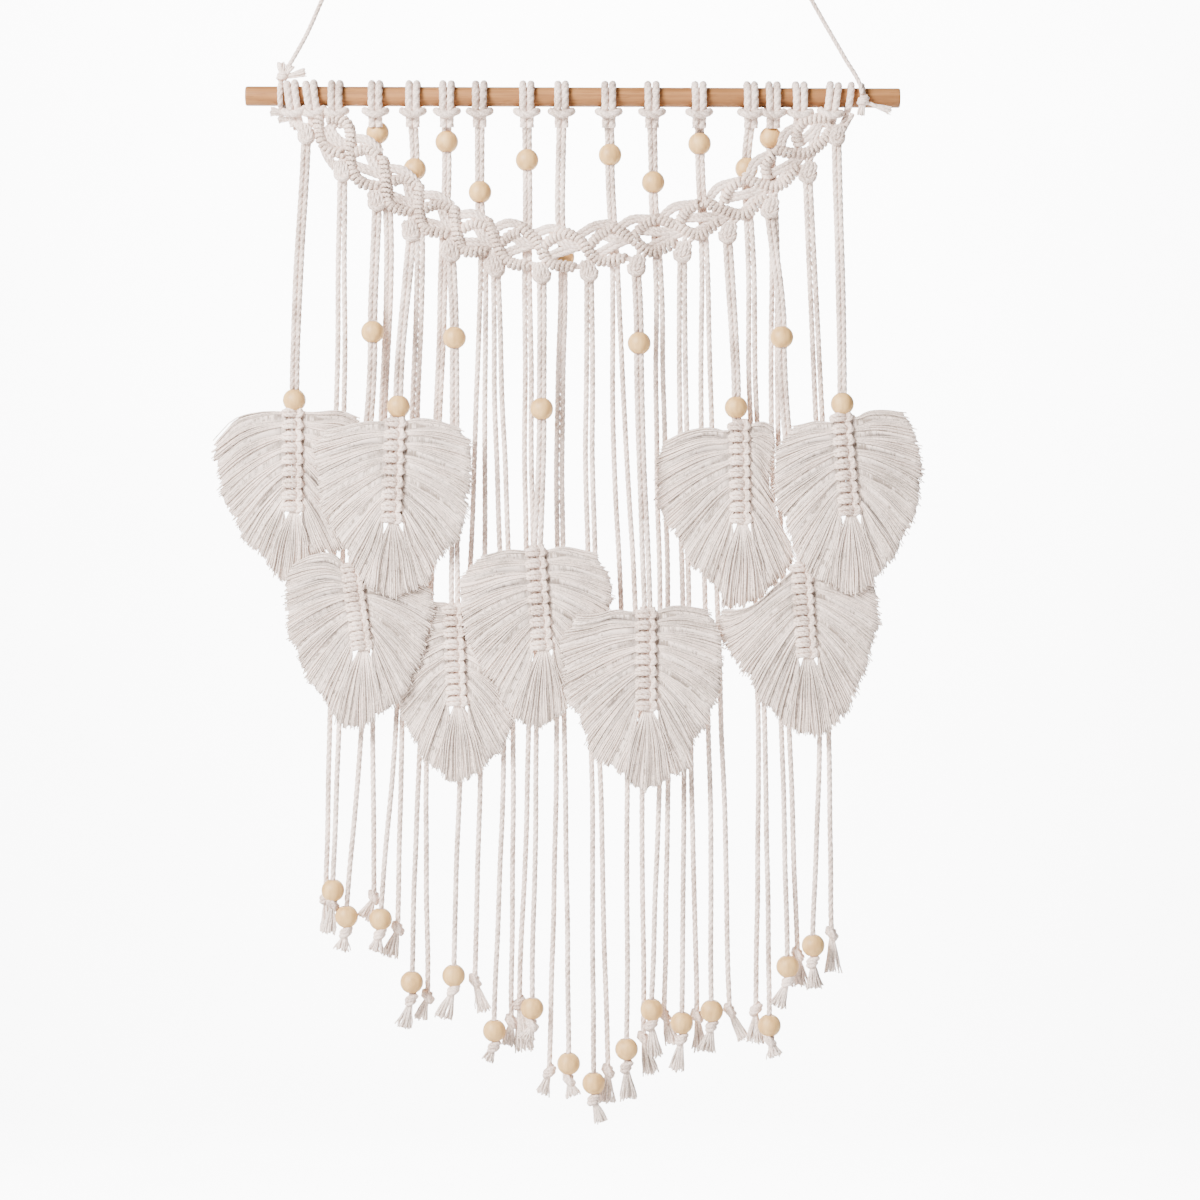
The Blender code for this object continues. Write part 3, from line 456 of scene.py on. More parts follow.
lamps = {
    "key": {"spot": (-1.6, -1.85, 0.75), "aim": (0, 0, -0.5), "size": 1.0, "power": 310},
    "fill": {"spot": (1.9, -2.4, -0.2), "aim": (0, 0, -0.5), "size": 1.8, "power": 26},
    "wall": {"spot": (0, 1.7, 0.9), "aim": (0, 3.7, 0.2), "size": 3.6, "power": 1000, "seen": False},
}
backdrop()
for name, settings in lamps.items():
    lamp(name, **settings)
world = bpy.data.worlds.new("studio")
world.use_nodes = True
world.node_tree.nodes["Background"].inputs["Color"].default_value = (1, 1, 1, 1)
world.node_tree.nodes["Background"].inputs["Strength"].default_value = 0.2
bpy.context.scene.world = world

cottons = {
    "cotton_cord": {"light": (0.97, 0.785, 0.685, 1), "shade": (0.37, 0.26, 0.205, 1), "fine": 900.0,
                    "laid": True},
    # The knots' cotton is the cords' cotton painted darker and warmer, with much deeper dark patches: painted
    # shade for the crowded turns of the swag
    "cotton_knots_shaded": {"light": (0.92, 0.72, 0.61, 1), "shade": (0.21, 0.132, 0.092, 1), "fine": 900.0},
    "cotton_combed": {"light": (0.96, 0.79, 0.695, 1), "shade": (0.44, 0.36, 0.30, 1), "fine": 800.0},
}
# deep is the near-black colour of the combed sheets' painted shadow
sheetColours = {"light": (0.97, 0.79, 0.69, 1), "shade": (0.34, 0.262, 0.212, 1),
                "deep": (0.04, 0.03, 0.024, 1)}
cordCotton, shadedKnotCotton, combedCotton = (cottonFinish(name, **row) for name, row in cottons.items())
sheetCotton = combedFinish("cotton_sheet", **sheetColours)
beech = beechFinish()
paleWood = paleFinish()
print("stage and finishes made")


# A frayed cord end: crooked threads that leave start together and open out to width at end
def frayed(curve, start, end, count, width, curl=1.1, steps=5):
    run = (end - start).normalized()
    side = run.cross(Vector((0, 1, 0))).normalized()
    deep = run.cross(side)
    for number in range(count):
        angle, reach = dice.uniform(0, 2 * math.pi), math.sqrt(dice.random())
        spread = side * math.cos(angle) * reach + deep * math.sin(angle) * reach * 0.55
        root = start + spread * 1.5
        tip = end + spread * width / 2 - run * dice.uniform(0, 0.16) * (end - start).length
        points = []
        for n in range(steps + 1):
            t = n / steps
            drift = noise.noise_vector((t * 2.2, number * 1.31, tip.x * 0.11)) * curl * t
            points.append(root.lerp(tip, t) + drift)
        lay(curve, points, 1.0, pitch=None)


# A lark's head: down the front from over the rod, round behind, and across in the bight
def wrapPath(x, tilt, spread):
    half = [(2.2, -4.6, -24.0), (2.2, -6.0, -17.5), (2.3, -8.9, -10.0), (2.3, -9.8, -3.0), (2.3, -9.0, 3.6),
            (2.4, -5.6, 7.9), (2.4, 0.0, 9.9), (2.5, 5.8, 7.8), (2.6, 9.6, 0.0), (3.2, 7.6, -7.5),
            (5.0, 3.4, -11.0), (6.6, -2.4, -11.4), (6.6, -7.6, -12.0), (4.0, -10.8, -14.2)]
    for number, (a, b, c) in enumerate(half):
        apart = spread * ((c + 12) / 20) if c > -12 and a < 2.7 else 0.0
        half[number] = (a * 1.18 + apart, b * 1.03, c)
    points = [(-a, b, c) for a, b, c in half] + [(0.0, -11.6, -15.2)] + half[::-1]
    turn = Matrix.Rotation(math.radians(tilt), 4, "Y")
    return [Vector((x, 0, rodZ(x))) + turn @ Vector(point) for point in points]


# One closed turn round the rod
def ringPath(x, tilt, radius, sides=36):
    turn = Matrix.Rotation(math.radians(tilt), 4, "Y")
    spots = []
    for n in range(sides):
        angle = 2 * math.pi * n / sides
        spot = turn @ Vector((0, radius * math.cos(angle), radius * math.sin(angle)))
        spots.append(Vector((x, 0, rodZ(x))) + spot)
    return spots


# A few turns of cord pulled tight round themselves
def tightKnot(curve, spot, winding, height, turns, radius, lean=0.35):
    count = round(turns * 14)
    points = []
    for n in range(count + 1):
        t = n / count
        angle = 2 * math.pi * turns * t
        reach = winding * (0.55 + 0.45 * math.sin(math.pi * t))
        points.append(Vector(spot) + Vector((reach * math.cos(angle), reach * 0.85 * math.sin(angle),
                                             height * (0.5 - t) + lean * reach * math.cos(angle))))
    lay(curve, points, radius)


hangers = {
    "left": {"wrap": -217, "knot": (-215.6, -3, -100.6),
             "route": ((-213, -2.6, -96.3), (-209, -2, -89.5), (-198, -0.5, -69.5),
                       (-187, 1, -44.5), (-177.2, 2, -22.2)),
             "loop": (-172, 2, -10), "length": 0.082,
             "tails": (((-216, -4.5, -100), (-216.5, -6, -91.5)),
                       ((-213.5, -4.5, -100.5), (-209, -5.5, -93.5)),
                       ((-212, -3.5, -101), (-199.5, -4.5, -98)),
                       ((-206, -3, -129.5), (-214, -4.5, -129.8), (-223.5, -5, -128)),
                       ((-205, -2, -133.5), (-211, -3.5, -134), (-218, -4, -134)),
                       ((-205.5, -1, -132), (-204.5, -1, -140.5)),
                       ((-217, 9.5, -119), (-212, 11, -128.5), (-203, 9.5, -137)))},
    "right": {"wrap": 227, "knot": (227, -13, -121),
              "route": ((226.6, -13.4, -116), (224.6, -12, -108.5), (214, -7, -88.5),
                        (197, -1.5, -57.5), (177.8, 2, -21.9)),
              "loop": (171.5, 2, -10), "length": 0.109,
              "tails": (((228, -13, -122), (237, -13, -125), (247, -12, -127.5)),
                        ((227, -13, -123), (225.5, -13, -131)))},
}

# Radii of the hanger's cords and rings, the lengths of their twists, and their frayed ends
hangerShape = {"leg": 1.8, "legPitch": 12.0, "loop": 8.5, "loopCord": 1.5, "loopPitch": 13.35,
               "tie": 9.4, "tieCord": 2.15, "tiePitch": 14.77, "tailCord": 1.5,
               "thread": 0.42, "threads": 34, "frayWidth": 7.0}


# One leg of the hanger, with its tie on the rod and its loop at the top
def hanger(side, row):
    curve = cordCurve(f"hanger_{side}", cordProfile)
    strung(curve, row["route"], 1.5, hangerShape["leg"], pitch=hangerShape["legPitch"])
    leg = shown(f"hanger_{side}_cord", curve, cordCotton, [f"hanger_{side}"])

    centre = Vector(row["loop"])
    pull = (Vector(row["route"][-1]) - centre).normalized()
    loop = cordCurve(f"loop_{side}", cordProfile)
    reach = hangerShape["loop"]
    turns = [centre + Vector((reach * math.cos(a * math.pi / 18), 0, reach * math.sin(a * math.pi / 18)))
             for a in range(36)]
    lay(loop, turns, hangerShape["loopCord"], closed=True, pitch=hangerShape["loopPitch"])
    tightKnot(loop, centre + pull * 9.2, winding=2.1, height=3.6, turns=2.0, radius=1.5)
    ring = shown(f"loop_{side}_cord", loop, cordCotton, [f"loop_{side}"])

    tie = cordCurve(f"tie_{side}", cordProfile)
    lay(tie, ringPath(row["wrap"], 0, radius=hangerShape["tie"], sides=40), hangerShape["tieCord"],
        closed=True, pitch=hangerShape["tiePitch"])
    tightKnot(tie, row["knot"], winding=3.2, height=5.8, turns=2.5, radius=1.9)
    ends = cordCurve(f"tie_{side}_ends", depth=hangerShape["thread"])
    for tail in row["tails"]:
        spots = [Vector(point) for point in tail]
        if len(spots) > 2:
            strung(tie, spots[:-1], 2.2, hangerShape["tailCord"])
        frayed(ends, spots[-2], spots[-1] + (spots[-1] - spots[-2]) * 0.15, hangerShape["threads"],
               hangerShape["frayWidth"])
    knot = shown(f"tie_{side}_cord", tie, cordCotton, [f"tie_{side}"])
    loose = shown(f"tie_{side}_ends", ends, combedCotton, [])
    tuple(v * mm for v in row["route"][0])


for side, row in hangers.items():
    hanger(side, row)
print("hanger made")


# Spins an outline of radius and height in millimetres about the upright axis.
def lathe(bm, outline, steps, closed=False):
    verts = [bm.verts.new((reach * mm, 0, height * mm)) for reach, height in outline]
    following = verts[1:] + verts[:1] if closed else verts[1:]
    edges = [bm.edges.new(pair) for pair in zip(verts, following)]
    bmesh.ops.spin(bm, geom=verts + edges, cent=(0, 0, 0), axis=(0, 0, 1), angle=2 * math.pi, steps=steps,
                   use_merge=True)
    return verts


# A round rod with slightly rounded ends, laid at the photo's slope
def rodPiece():
    bm = bmesh.new()
    length = math.dist(rodLeft, rodRight)
    profile = [(0.0, -0.5), (0.92, -0.5), (0.985, -0.4985), (1.0, -0.4965)]
    outline = [(reach * rodRadius, share * length) for reach, share in profile]
    outline += [(rodRadius, (n / 40 - 0.5) * length * 0.99) for n in range(1, 40)]
    outline += [(reach, -height) for reach, height in outline[3::-1]]
    lathe(bm, outline, 48)
    bmesh.ops.remove_doubles(bm, verts=bm.verts[:], dist=1e-6)
    bmesh.ops.recalc_face_normals(bm, faces=bm.faces[:])
    tilt = math.atan2(rodRight[1] - rodLeft[1], rodRight[0] - rodLeft[0])
    middle = Vector(((rodLeft[0] + rodRight[0]) / 2, 0, (rodLeft[1] + rodRight[1]) / 2)) * mm
    bmesh.ops.transform(bm, verts=bm.verts[:],
                        matrix=Matrix.Translation(middle) @ Matrix.Rotation(math.pi / 2 - tilt, 4, "Y"))
    shown("rod_wood", meshFrom(bm, "rod"), beech, ["rod"])


rodPiece()


# A bored wooden ball with a rounded rim at the hole
def turnedBead(bm, spot, lean):
    rim = math.asin(boreRadius / beadRadius)
    outline = [(boreRadius - 0.1, -0.4 * beadRadius), (boreRadius - 0.1, 0.4 * beadRadius)]
    for n in range(19):
        angle = rim * 0.93 + (math.pi - 2 * rim * 0.93) * n / 18
        outline.append((beadRadius * math.sin(angle), beadRadius * math.cos(angle)))
    verts = lathe(bm, outline, 28, closed=True)
    ball, queue = set(verts), list(verts)
    while queue:
        for edge in queue.pop().link_edges:
            for vert in edge.verts:
                if vert not in ball:
                    ball.add(vert)
                    queue.append(vert)
    turn = Matrix.Rotation(lean, 4, "Y") @ Matrix.Rotation(dice.uniform(0, 6.2), 4, "Z")
    bmesh.ops.transform(bm, verts=list(ball), matrix=Matrix.Translation(Vector(spot) * mm) @ turn)


# A bead near a strand's end sits on the line from under the leaves to just above the end knot.
def lowBeadSpot(row):
    share = (row[7] - underLeafZ) / (row[4] + 4.2 - underLeafZ)
    return (row[2] + share * (row[3] - row[2]), curtainY + share * (lowBeadY - curtainY), row[7])


# A group of beads that stands for the CAD beads numbered from first
def beadPiece(name, spots, first):
    bm = bmesh.new()
    for spot in spots:
        turnedBead(bm, spot, dice.uniform(-0.06, 0.06))
    bmesh.ops.recalc_face_normals(bm, faces=bm.faces[:])
    shown(name, meshFrom(bm, name), paleWood,
          [f"bead_{first + n:02d}" for n in range(len(spots))])


lowRows = [row for row in strandRows if row[7] is not None]
beadPiece("upper_beads", [(x, rodPairY, z) for _head, x, z, _tx, _tz in rodPairs.values()], 1)
beadPiece("leaf_beads", [(row["bead"][0], layerY[row["layer"]], row["bead"][1]) for row in leafRows], 12)
beadPiece("low_beads", [lowBeadSpot(row) for row in lowRows], 21)
print("rod and beads made")


# Lark's heads on the rod: x, number of wraps, tilt in degrees
headRows = [
    (-208, 2, -8), (-193.5, 2, -8), (-175, 2, 0), (-144.5, 2, 0), (-116, 2, 0),
    (-90, 2, 0), (-65, 2, 0), (-29, 2, 0), (-2.5, 2, 0), (33.5, 2, 0), (66.5, 2, 0),
    (102.5, 2, 0), (142, 2, 0), (159, 2, 0), (179.5, 2, 0), (204.5, 2, 8), (217.5, 1, 8),
]
headShape = {"wrap": 2.9, "bight": 3.0, "apart": 0.4, "single": 2.7, "singleReach": 9.9,
             "singlePitch": 15.55}


def headPiece():
    curve = cordCurve("heads", firmProfile)
    for x, humps, tilt in headRows:
        if humps == 2:
            spots = smooth(wrapPath(x, tilt, headShape["apart"] * dice.random() ** 2), 1.7)
            radii = []
            for spot in spots:
                low = abs(spot.x - x) < 6.5 and spot.y < -7.5 and -17 < spot.z - rodZ(x) < -11
                radii.append(headShape["bight" if low else "wrap"])
            lay(curve, spots, radii, phase=dice.uniform(0, 6))
        else:
            lay(curve, ringPath(x, tilt, radius=headShape["singleReach"]), headShape["single"],
                closed=True, pitch=headShape["singlePitch"])
    return curve


# The swag's ridged bars, x and z along each
barRows = [
    ((-187.5, -130.5), (-186.5, -147.5), (-180.5, -156.5), (-168, -160.5)),
    ((-182, -134.5), (-173.5, -134), (-165.5, -137.5), (-162.8, -147),
     (-163.2, -162), (-161.5, -174), (-154.5, -182), (-142, -184.5)),
    ((-138.5, -163), (-135.5, -179.5), (-133, -199), (-115.5, -205)),
    ((-111, -184), (-111, -200.5), (-107, -216.5), (-87, -221)),
    ((-84, -202), (-82.5, -218.5), (-78, -232.5), (-56.5, -234)),
    ((-58.5, -212.5), (-54.2, -222), (-50.5, -231), (-46, -240),
     (-38, -244.2), (-27, -244.5)),
    ((-34.5, -215.5), (-21.5, -226.5), (-12, -243), (7.5, -247)),
    ((-7, -218), (12, -227), (25, -241.5), (46.5, -240)),
    ((36, -215.5), (51, -225.5), (66.5, -235.5), (85, -228)),
    ((69.5, -209.5), (86.5, -216.5), (101, -222.5), (118.5, -211)),
    ((106.5, -197), (120, -203.5), (135.5, -207), (153, -192.5)),
    ((135.5, -178), (147, -183.5), (163.5, -185), (177.5, -170.5)),
    ((160, -157.5), (173, -160.5), (187, -159.2), (194.5, -153.5),
     (199.8, -147), (202.8, -140.5)),
    ((179.5, -137), (184.5, -135.3), (193.5, -134), (204.5, -133)),
]
# Short bars, each between the bar before it and the bar after it
upperRows = [
    ((-159.8, -159.8), (-152.1, -157.5), (-139.9, -162.8)),
    ((-130.7, -182), (-124.6, -179.7), (-110.1, -185.8)),
    ((-105.9, -202.3), (-95.6, -199.2), (-84.1, -203.8)),
    ((-77.2, -217.9), (-68.8, -214.1), (-58.9, -215.6)),
    ((-46.6, -227.8), (-40.5, -222.5), (-33.6, -220.9)),
    ((-14.5, -230.1), (-8.4, -224.8), (1.5, -221.7)),
    ((21.4, -228.2), (26, -223.2), (35.9, -217.1)),
    ((55, -221.7), (61.2, -214.1), (71.1, -210.2)),
    ((87.9, -212.5), (91.7, -205.7), (103.2, -198)),
    ((121.2, -198), (124.6, -188.8), (136.1, -180.4)),
    ((154.6, -180), (153, -170.5), (160.3, -158.4)),
    ((178.5, -154.5), (176.4, -145.3), (181, -137.6)),
]
# The rounded knots under the swag's crossings
berrySpots = [
    (-197, -146), (-169.5, -174.5), (-143, -197), (-117, -220), (-86.5, -235.5),
    (-52.5, -247), (-17.5, -252), (18.5, -250.5), (54.5, -246.5), (89.5, -236),
    (124, -221.5), (156, -202.5), (185, -175.5), (207, -147),
]
# Radii of the bars' turns and of their cord, its pitch, and the radius of the cords between bars
swagShape = {"winding": 3.1, "lowerWinding": 2.95, "rightWinding": 2.95, "upperWinding": 2.9, "cord": 2.0,
             "pitch": 3.5, "crossing": 2.2}


# Cord wound tight along a path in the wall's plane, with one width before its middle and one after
def wound(curve, path, widths, phase=0.0):
    spots = smooth(path, 0.5)
    length = sum((b - a).length for a, b in zip(spots, spots[1:]))
    turns = max(2, round(length / swagShape["pitch"]))
    made = []
    for n in range(turns * 9 + 1):
        share = n / (turns * 9)
        index = min(len(spots) - 2, int(share * (len(spots) - 1)))
        centre = spots[index].lerp(spots[index + 1], share * (len(spots) - 1) - index)
        run = (spots[index + 1] - spots[index]).normalized()
        across = run.cross(Vector((0, 1, 0)))
        angle = phase + 2 * math.pi * n / 9
        width = widths[0] + (widths[1] - widths[0]) * min(1.0, max(0.0, (share - 0.5) / 0.2))
        ends = 0.86 + 0.14 * min(1.0, 7 * share, 7 * (1 - share))
        uneven = 1.0 + 0.2 * noise.noise((n * 0.13, phase * 5.1, centre.x * 0.1))
        made.append(centre + (Vector((0, -0.95, 0)) * math.cos(angle) + across * math.sin(angle)) * width
                    * ends * uneven - run * 0.9 * math.cos(angle))
    lay(curve, made, swagShape["cord"], pitch=9.0, phase=phase)


# The ridged bars; those on the right half are of one width, as in the photo
def barPiece():
    curve = cordCurve("bars", firmProfile)
    broad, narrow, right = (swagShape[key] for key in ("winding", "lowerWinding", "rightWinding"))
    for index, bar in enumerate(barRows):
        mirror = min(1.0, max(0.0, (index - 5) / 3))
        widths = (broad + (right - broad) * mirror, narrow + (right - narrow) * mirror)
        low = 0.8 * (1 - mirror)
        path = [(x, swagY, z - (low if n > 1 else 0.0)) for n, (x, z) in enumerate(bar)]
        wound(curve, path, widths, phase=index * 1.3)
    for index, row in enumerate(upperRows):
        start = Vector(row[0]) + (Vector(row[0]) - Vector(row[1])).normalized() * 1.4
        path = [(x, swagY, z) for x, z in (start, *row[1:])]
        wound(curve, path, (swagShape["upperWinding"],) * 2, phase=index * 0.7)
    return curve


# The share of the way along a run of lines that is nearest to a place
def nearest(points, spot):
    return min((n / 60 for n in range(61)), key=lambda share: (along(points, share) - spot).length)


# A few cords side by side from a to b, bowed by rise
def cell(curve, a, b, rise, depth, shifts):
    across = Vector((a.y - b.y, b.x - a.x)).normalized()
    middle = (a + b) / 2 + Vector(rise)
    for shift in shifts:
        ends = [a + across * shift, middle + across * shift, b + across * shift * 0.6]
        points = [(spot.x, swagY + depth - bow, spot.y) for spot, bow in zip(ends, (0.0, 1.4, 0.0))]
        strung(curve, points, 1.6, swagShape["crossing"], pitch=13.0, phase=a.x + shift)


# The cords that cross the swag's cells, its necks, and the outer cords from the rod
def cellPiece():
    curve = cordCurve("cells", cordProfile)
    for index, upper in enumerate(upperRows):
        before, after = barRows[index + 1], barRows[index + 2]
        foot, head = nearest(before, Vector(upper[0])), nearest(after, Vector(upper[-1]))
        longBefore, longAfter = (sum((Vector(b) - Vector(a)).length for a, b in zip(bar, bar[1:]))
                                 for bar in (before, after))
        if index < 7:
            arch = along(before, max(0.0, foot - 11.5 / longBefore))
            end = along(after, min(1.0, head + 16.5 / longAfter))
            cell(curve, arch, along(after, head) + Vector((-1.0, 3.0)), (1.5, 3.2), 0.2, (-1.6, 1.6))
            cell(curve, along(upper, 0.5), end, (-1.6, -2.2), 0.8, (-1.7, 1.6))
            cell(curve, along(before, min(1.0, foot + 9.0 / longBefore)), end, (-0.5, 0.6), 1.2, (-1.7, 1.7))
        else:
            end = along(after, 0.43 if index < 11 else 0.62)
            arch = along(before, max(0.03, foot - 15.0 / longBefore))
            cell(curve, arch, along(upper, 0.85) + Vector((-1.5, 1.5)), (-3.4, 2.4), 0.2, (-1.6, 1.6))
            cell(curve, along(upper, 0.15) + Vector((2.0, 0)), end, (1.0, -1.4), 0.8, (-1.6, 1.6))
            cell(curve, along(before, 0.56), end + Vector((0.8, -1.0)), (-1.6, -0.6), 1.2, (-1.5, 1.5))
    for index, (x, z) in enumerate(berrySpots):
        near = barRows[index - 1][-1] if index else barRows[0][1]
        lower = along(barRows[index], 0.62) if index else (-192.0, -138.0)
        middle = along(barRows[index], 0.45) if index > 6 else near
        for target, shift in ((near, -1.8), (near, 1.8), (lower, 0.0), (middle, 0.5)):
            strung(curve, [(target[0] + shift, swagY + 0.6, target[1]),
                           (x + shift * 0.8, swagY + 0.2, z + 4.0)], 2.0, swagShape["cord"], phase=x)
    joins = [(0, berrySpots[0]), (1, barRows[0][0]), (2, (-173.0, -139.0)), (14, (182.0, -136.0)),
             (15, (199.5, -132.5)), (16, berrySpots[-1])]
    for head, (x, z) in joins:
        start = headRows[head][0]
        for shift in (-2.0, 2.0):
            strung(curve, [(start + shift, -5.0, rodZ(start) - 13.0), (x + shift, swagY, z - 2.0)], 2.0, 2.1)
    cell(curve, Vector((-181.5, -139.5)), Vector((-166.5, -155.0)), (-1.8, -1.8), 1.0, (-3.2, 0.1, 3.2))
    cell(curve, Vector((-184.5, -154.0)), Vector((-175.0, -172.0)), (-0.6, -0.8), 0.8, (-1.2, 1.6))
    return curve


# Across: where the uprights stand. Collar: across, out and up from the berry's middle.
berryShape = {
    "upright": 2.0, "collarCord": 2.2, "slant": 0.38, "width": 0.9, "endWidth": 0.8,
    "across": (-4.7, -1.65, 1.65, 4.7),
    "collar": ((-6.0, -0.6, 0.6), (-4.9, 2.7, -4.0), (0.0, 4.0, -6.3), (4.9, 2.7, -4.0), (6.0, -0.6, 0.6)),
}


# Rounded square knots: upright cords over the front and a collar under them
def berryPiece():
    curve = cordCurve("berries", cordProfile)
    for index, (x, z) in enumerate(berrySpots):
        slant = berryShape["slant"] if x < 25 else -berryShape["slant"]
        wide = berryShape["endWidth" if index in (0, 1, len(berrySpots) - 1) else "width"]
        for n, across in enumerate(berryShape["across"]):
            shift = across * wide
            bulge = 3.7 - abs(shift) * 0.35
            points = [(x + shift * 0.55 - slant * 5, swagY - 0.4, z + 7.4),
                      (x + shift - slant * 4, swagY - bulge, z + 4.8),
                      (x + shift, swagY - bulge - 0.6, z + 0.4),
                      (x + shift * 0.85 + slant * 3, swagY - 1.6, z - 4.8)]
            behind = [(a, 2 * swagY - b, c) for a, b, c in points]
            strung(curve, points, 1.6, berryShape["upright"], phase=n, pitch=12)
            strung(curve, behind, 2.0, berryShape["upright"], phase=n, pitch=12)
        for front in (-1, 1):
            points = [(x + across * wide, swagY + out * front, z + up)
                      for across, out, up in berryShape["collar"]]
            strung(curve, points, 1.6, berryShape["collarCord"])
    return curve


# A long strand from its head or berry down to its end knot, and the heights where beads squeeze it
def strandPath(index, row):
    source, topX, lowX, knotX, knotZ, _tipX, _tipZ, beadZ = row
    side = 1 if index and strandRows[index - 1][0] == source else -1
    pinches = []
    if source in rodPairs:
        headX, beadX, pairZ, touchX, touchZ = rodPairs[source]
        points = [(headX + side * pairHalf, -5.0, rodZ(headX) - 17.0)]
        bead = [(beadX + side * 1.7, rodPairY, pairZ + 8.0), (beadX + side * 1.7, rodPairY, pairZ - 8.0)]
        touch = [(touchX + side * pairHalf, swagTouchY + 0.6, touchZ)]
        points += touch + bead if touchZ > pairZ else bead + touch
        pinches.append(pairZ)
    else:
        berryX, berryZ = berrySpots[source - 1]
        points = [(berryX + side * pairHalf, swagY + 0.5, berryZ - 4.0)]
    endY = lowBeadY if beadZ is not None else curtainY
    points += [(topX, curtainY, leafTopZ), (lowX, curtainY, underLeafZ)]
    if beadZ is not None:
        points.append(lowBeadSpot(row))
    points.append((knotX, endY, knotZ))
    spots = wander(smooth(points, 2.2), index // 2, 0.9)
    return spots, pinches


# The cord's radius at each point, less where it passes through a bead
def pinched(spots, pinches, reach=9.0, squeeze=0.35):
    return [cordRadius - squeeze * max([0.0] + [1 - abs(spot.z - z) / reach for z in pinches])
            for spot in spots]


# The long strands in two pieces, and the pairs that the leaves hang on
def strandPieces():
    curves = [cordCurve("strands_left", cordProfile), cordCurve("strands_right", cordProfile)]
    for index, row in enumerate(strandRows):
        spots, pinches = strandPath(index, row)
        lay(curves[index // 16], spots, pinched(spots, pinches), phase=index * 1.1)
    for row in leafRows:
        berryX, berryZ = berrySpots[row["berry"] - 1]
        y = layerY[row["layer"]]
        for side in (-1, 1):
            beadX, beadZ = row["bead"]
            points = [(berryX + side * pairHalf, swagY, berryZ - 4.0), (beadX + side * 1.7, y, beadZ + 8.0),
                      (beadX + side * 1.7, y, beadZ - 8.0)]
            points.append((row["top"][0] + side * 2.2, y - 0.5, row["top"][1] - 4.0))
            spots = wander(smooth(points, 2.2), beadX + side, 0.5)
            lay(curves[0 if berryX < 0 else 1], spots, pinched(spots, [beadZ]), phase=side)
    return curves


tuftShape = {"thread": 0.6, "threads": 44, "width": 10.5, "wider": 5.0, "curl": 2.0}


# The end knots and their frayed tufts
def endPieces():
    knots = cordCurve("end_knots", cordProfile)
    tufts = cordCurve("tufts", depth=tuftShape["thread"])
    for index, row in enumerate(strandRows):
        y = lowBeadY if row[7] is not None else curtainY
        knot = Vector((row[3], y, row[4]))
        tightKnot(knots, knot, winding=3.3, height=5.8, turns=2.0 + 0.25 * (index % 3), radius=2.4,
                  lean=0.75 * (-1) ** index)
        tip = Vector((row[5], y - 0.5, row[6]))
        start = knot + (tip - knot).normalized() * 2.5
        width = tuftShape["width"] + tuftShape["wider"] * dice.random()
        frayed(tufts, start, tip, tuftShape["threads"], width, curl=tuftShape["curl"])
    return knots, tufts


for name, curve in (("heads", headPiece()), ("cells", cellPiece()), ("berries", berryPiece())):
    shown(name, curve, cordCotton, ["macrame"])
# the bars take the darker cotton: painted shade
shown("bars", barPiece(), shadedKnotCotton, ["macrame"])
for curve in strandPieces():
    shown(curve.name, curve, cordCotton, ["macrame"])
knots, tufts = endPieces()
shown("end_knots", knots, cordCotton, ["macrame"])
shown("tufts", tufts, combedCotton, ["macrame"])
print("macrame made")

# Counts for each leaf, the thickness of a loose thread, and where threads leave the spine
leafShape = {"knots": 8, "sideRidges": 80, "footRidges": 32, "columns": 3, "steps": 10,
             "looseSide": 60, "looseFoot": 24, "thread": 0.42, "roots": {-1: -5.3, 1: 5.0}}
# Openings beside the knots, left, right and none at the foot, painted as shadow on the sheet: their width
# along the spine and their place along a thread, as shares
paintedOpenings = {-1: {"width": 0.17, "place": 0.078, "strength": 1.0},
            1: {"width": 0.12, "place": 0.045, "strength": 0.7},
            0: {"width": 0.12, "place": 0.045, "strength": 0.0}}


# Square knots down the leaf's middle: a broad lobe on the left and a small one on the right
def spineCurve(row):
    curve = cordCurve(f"{row['name']}_spine", cordProfile)
    y = layerY[row["layer"]]
    knots = leafShape["knots"]
    top, foot = Vector(row["top"]), Vector(row["foot"])
    run = (foot - top) / knots
    lean = Vector((run.x, run.y)).normalized()
    across = Vector((-lean.y, lean.x))

    def at(n, side, down, out):
        spot = top + run * n + across * side + lean * down
        return (spot.x, y - out, spot.y)

    for n in range(knots + 1):
        wide = 1.0 if n < knots else 1.15
        for half in (-1, 1):
            drop = 1.65 * half
            lobe = [at(n, -9.0 * wide, drop * 0.45 + 0.5, -1.2), at(n, -7.0 * wide, drop * 0.9 + 0.2, 1.9),
                    at(n, -3.2, drop * 1.1 - 0.3, 3.4), at(n, 0.2, drop, 2.6), at(n, 1.6, drop * 0.6, 0.2)]
            strung(curve, lobe, 1.7, 1.95, phase=n + half, pitch=13)
        small = [at(n, 1.8, -3.7, 0.2), at(n, 3.8, -2.7, 2.5), at(n, 5.6 * wide, 0.0, 3.0),
                 at(n, 3.8, 2.7, 2.5), at(n, 1.8, 3.7, 0.2)]
        leaving = [at(n, 2.6, 0, 1.6), at(n, 4.6, 0, 2.0), at(n, 6.8 * wide, 0.5, 0.4),
                   at(n, 8.2 * wide, 0.8, -1.6)]
        behind = [at(n, 7.0 * wide, 0.6, -0.3), at(n, 2.5, -0.4, -3.0), at(n, -2.5, 0.4, -3.0),
                  at(n, -7.0 * wide, -0.6, -0.3)]
        strung(curve, small, 1.4, 2.1, phase=n * 2, pitch=13)
        strung(curve, leaving, 1.4, 2.0, phase=n * 2, pitch=13)
        strung(curve, behind, 2.0, 2.0, phase=n, pitch=12)
    for side in (-3.9, 0.0, 3.9):
        strung(curve, [at(-0.6, side, 0, -0.6), at(knots + 0.4, side, 0, -0.6)], 4.0, 2.3)
    return curve


# How far along its line a thread's point lies: close together near the spine
def rootward(k):
    return (k / leafShape["steps"]) ** 1.4


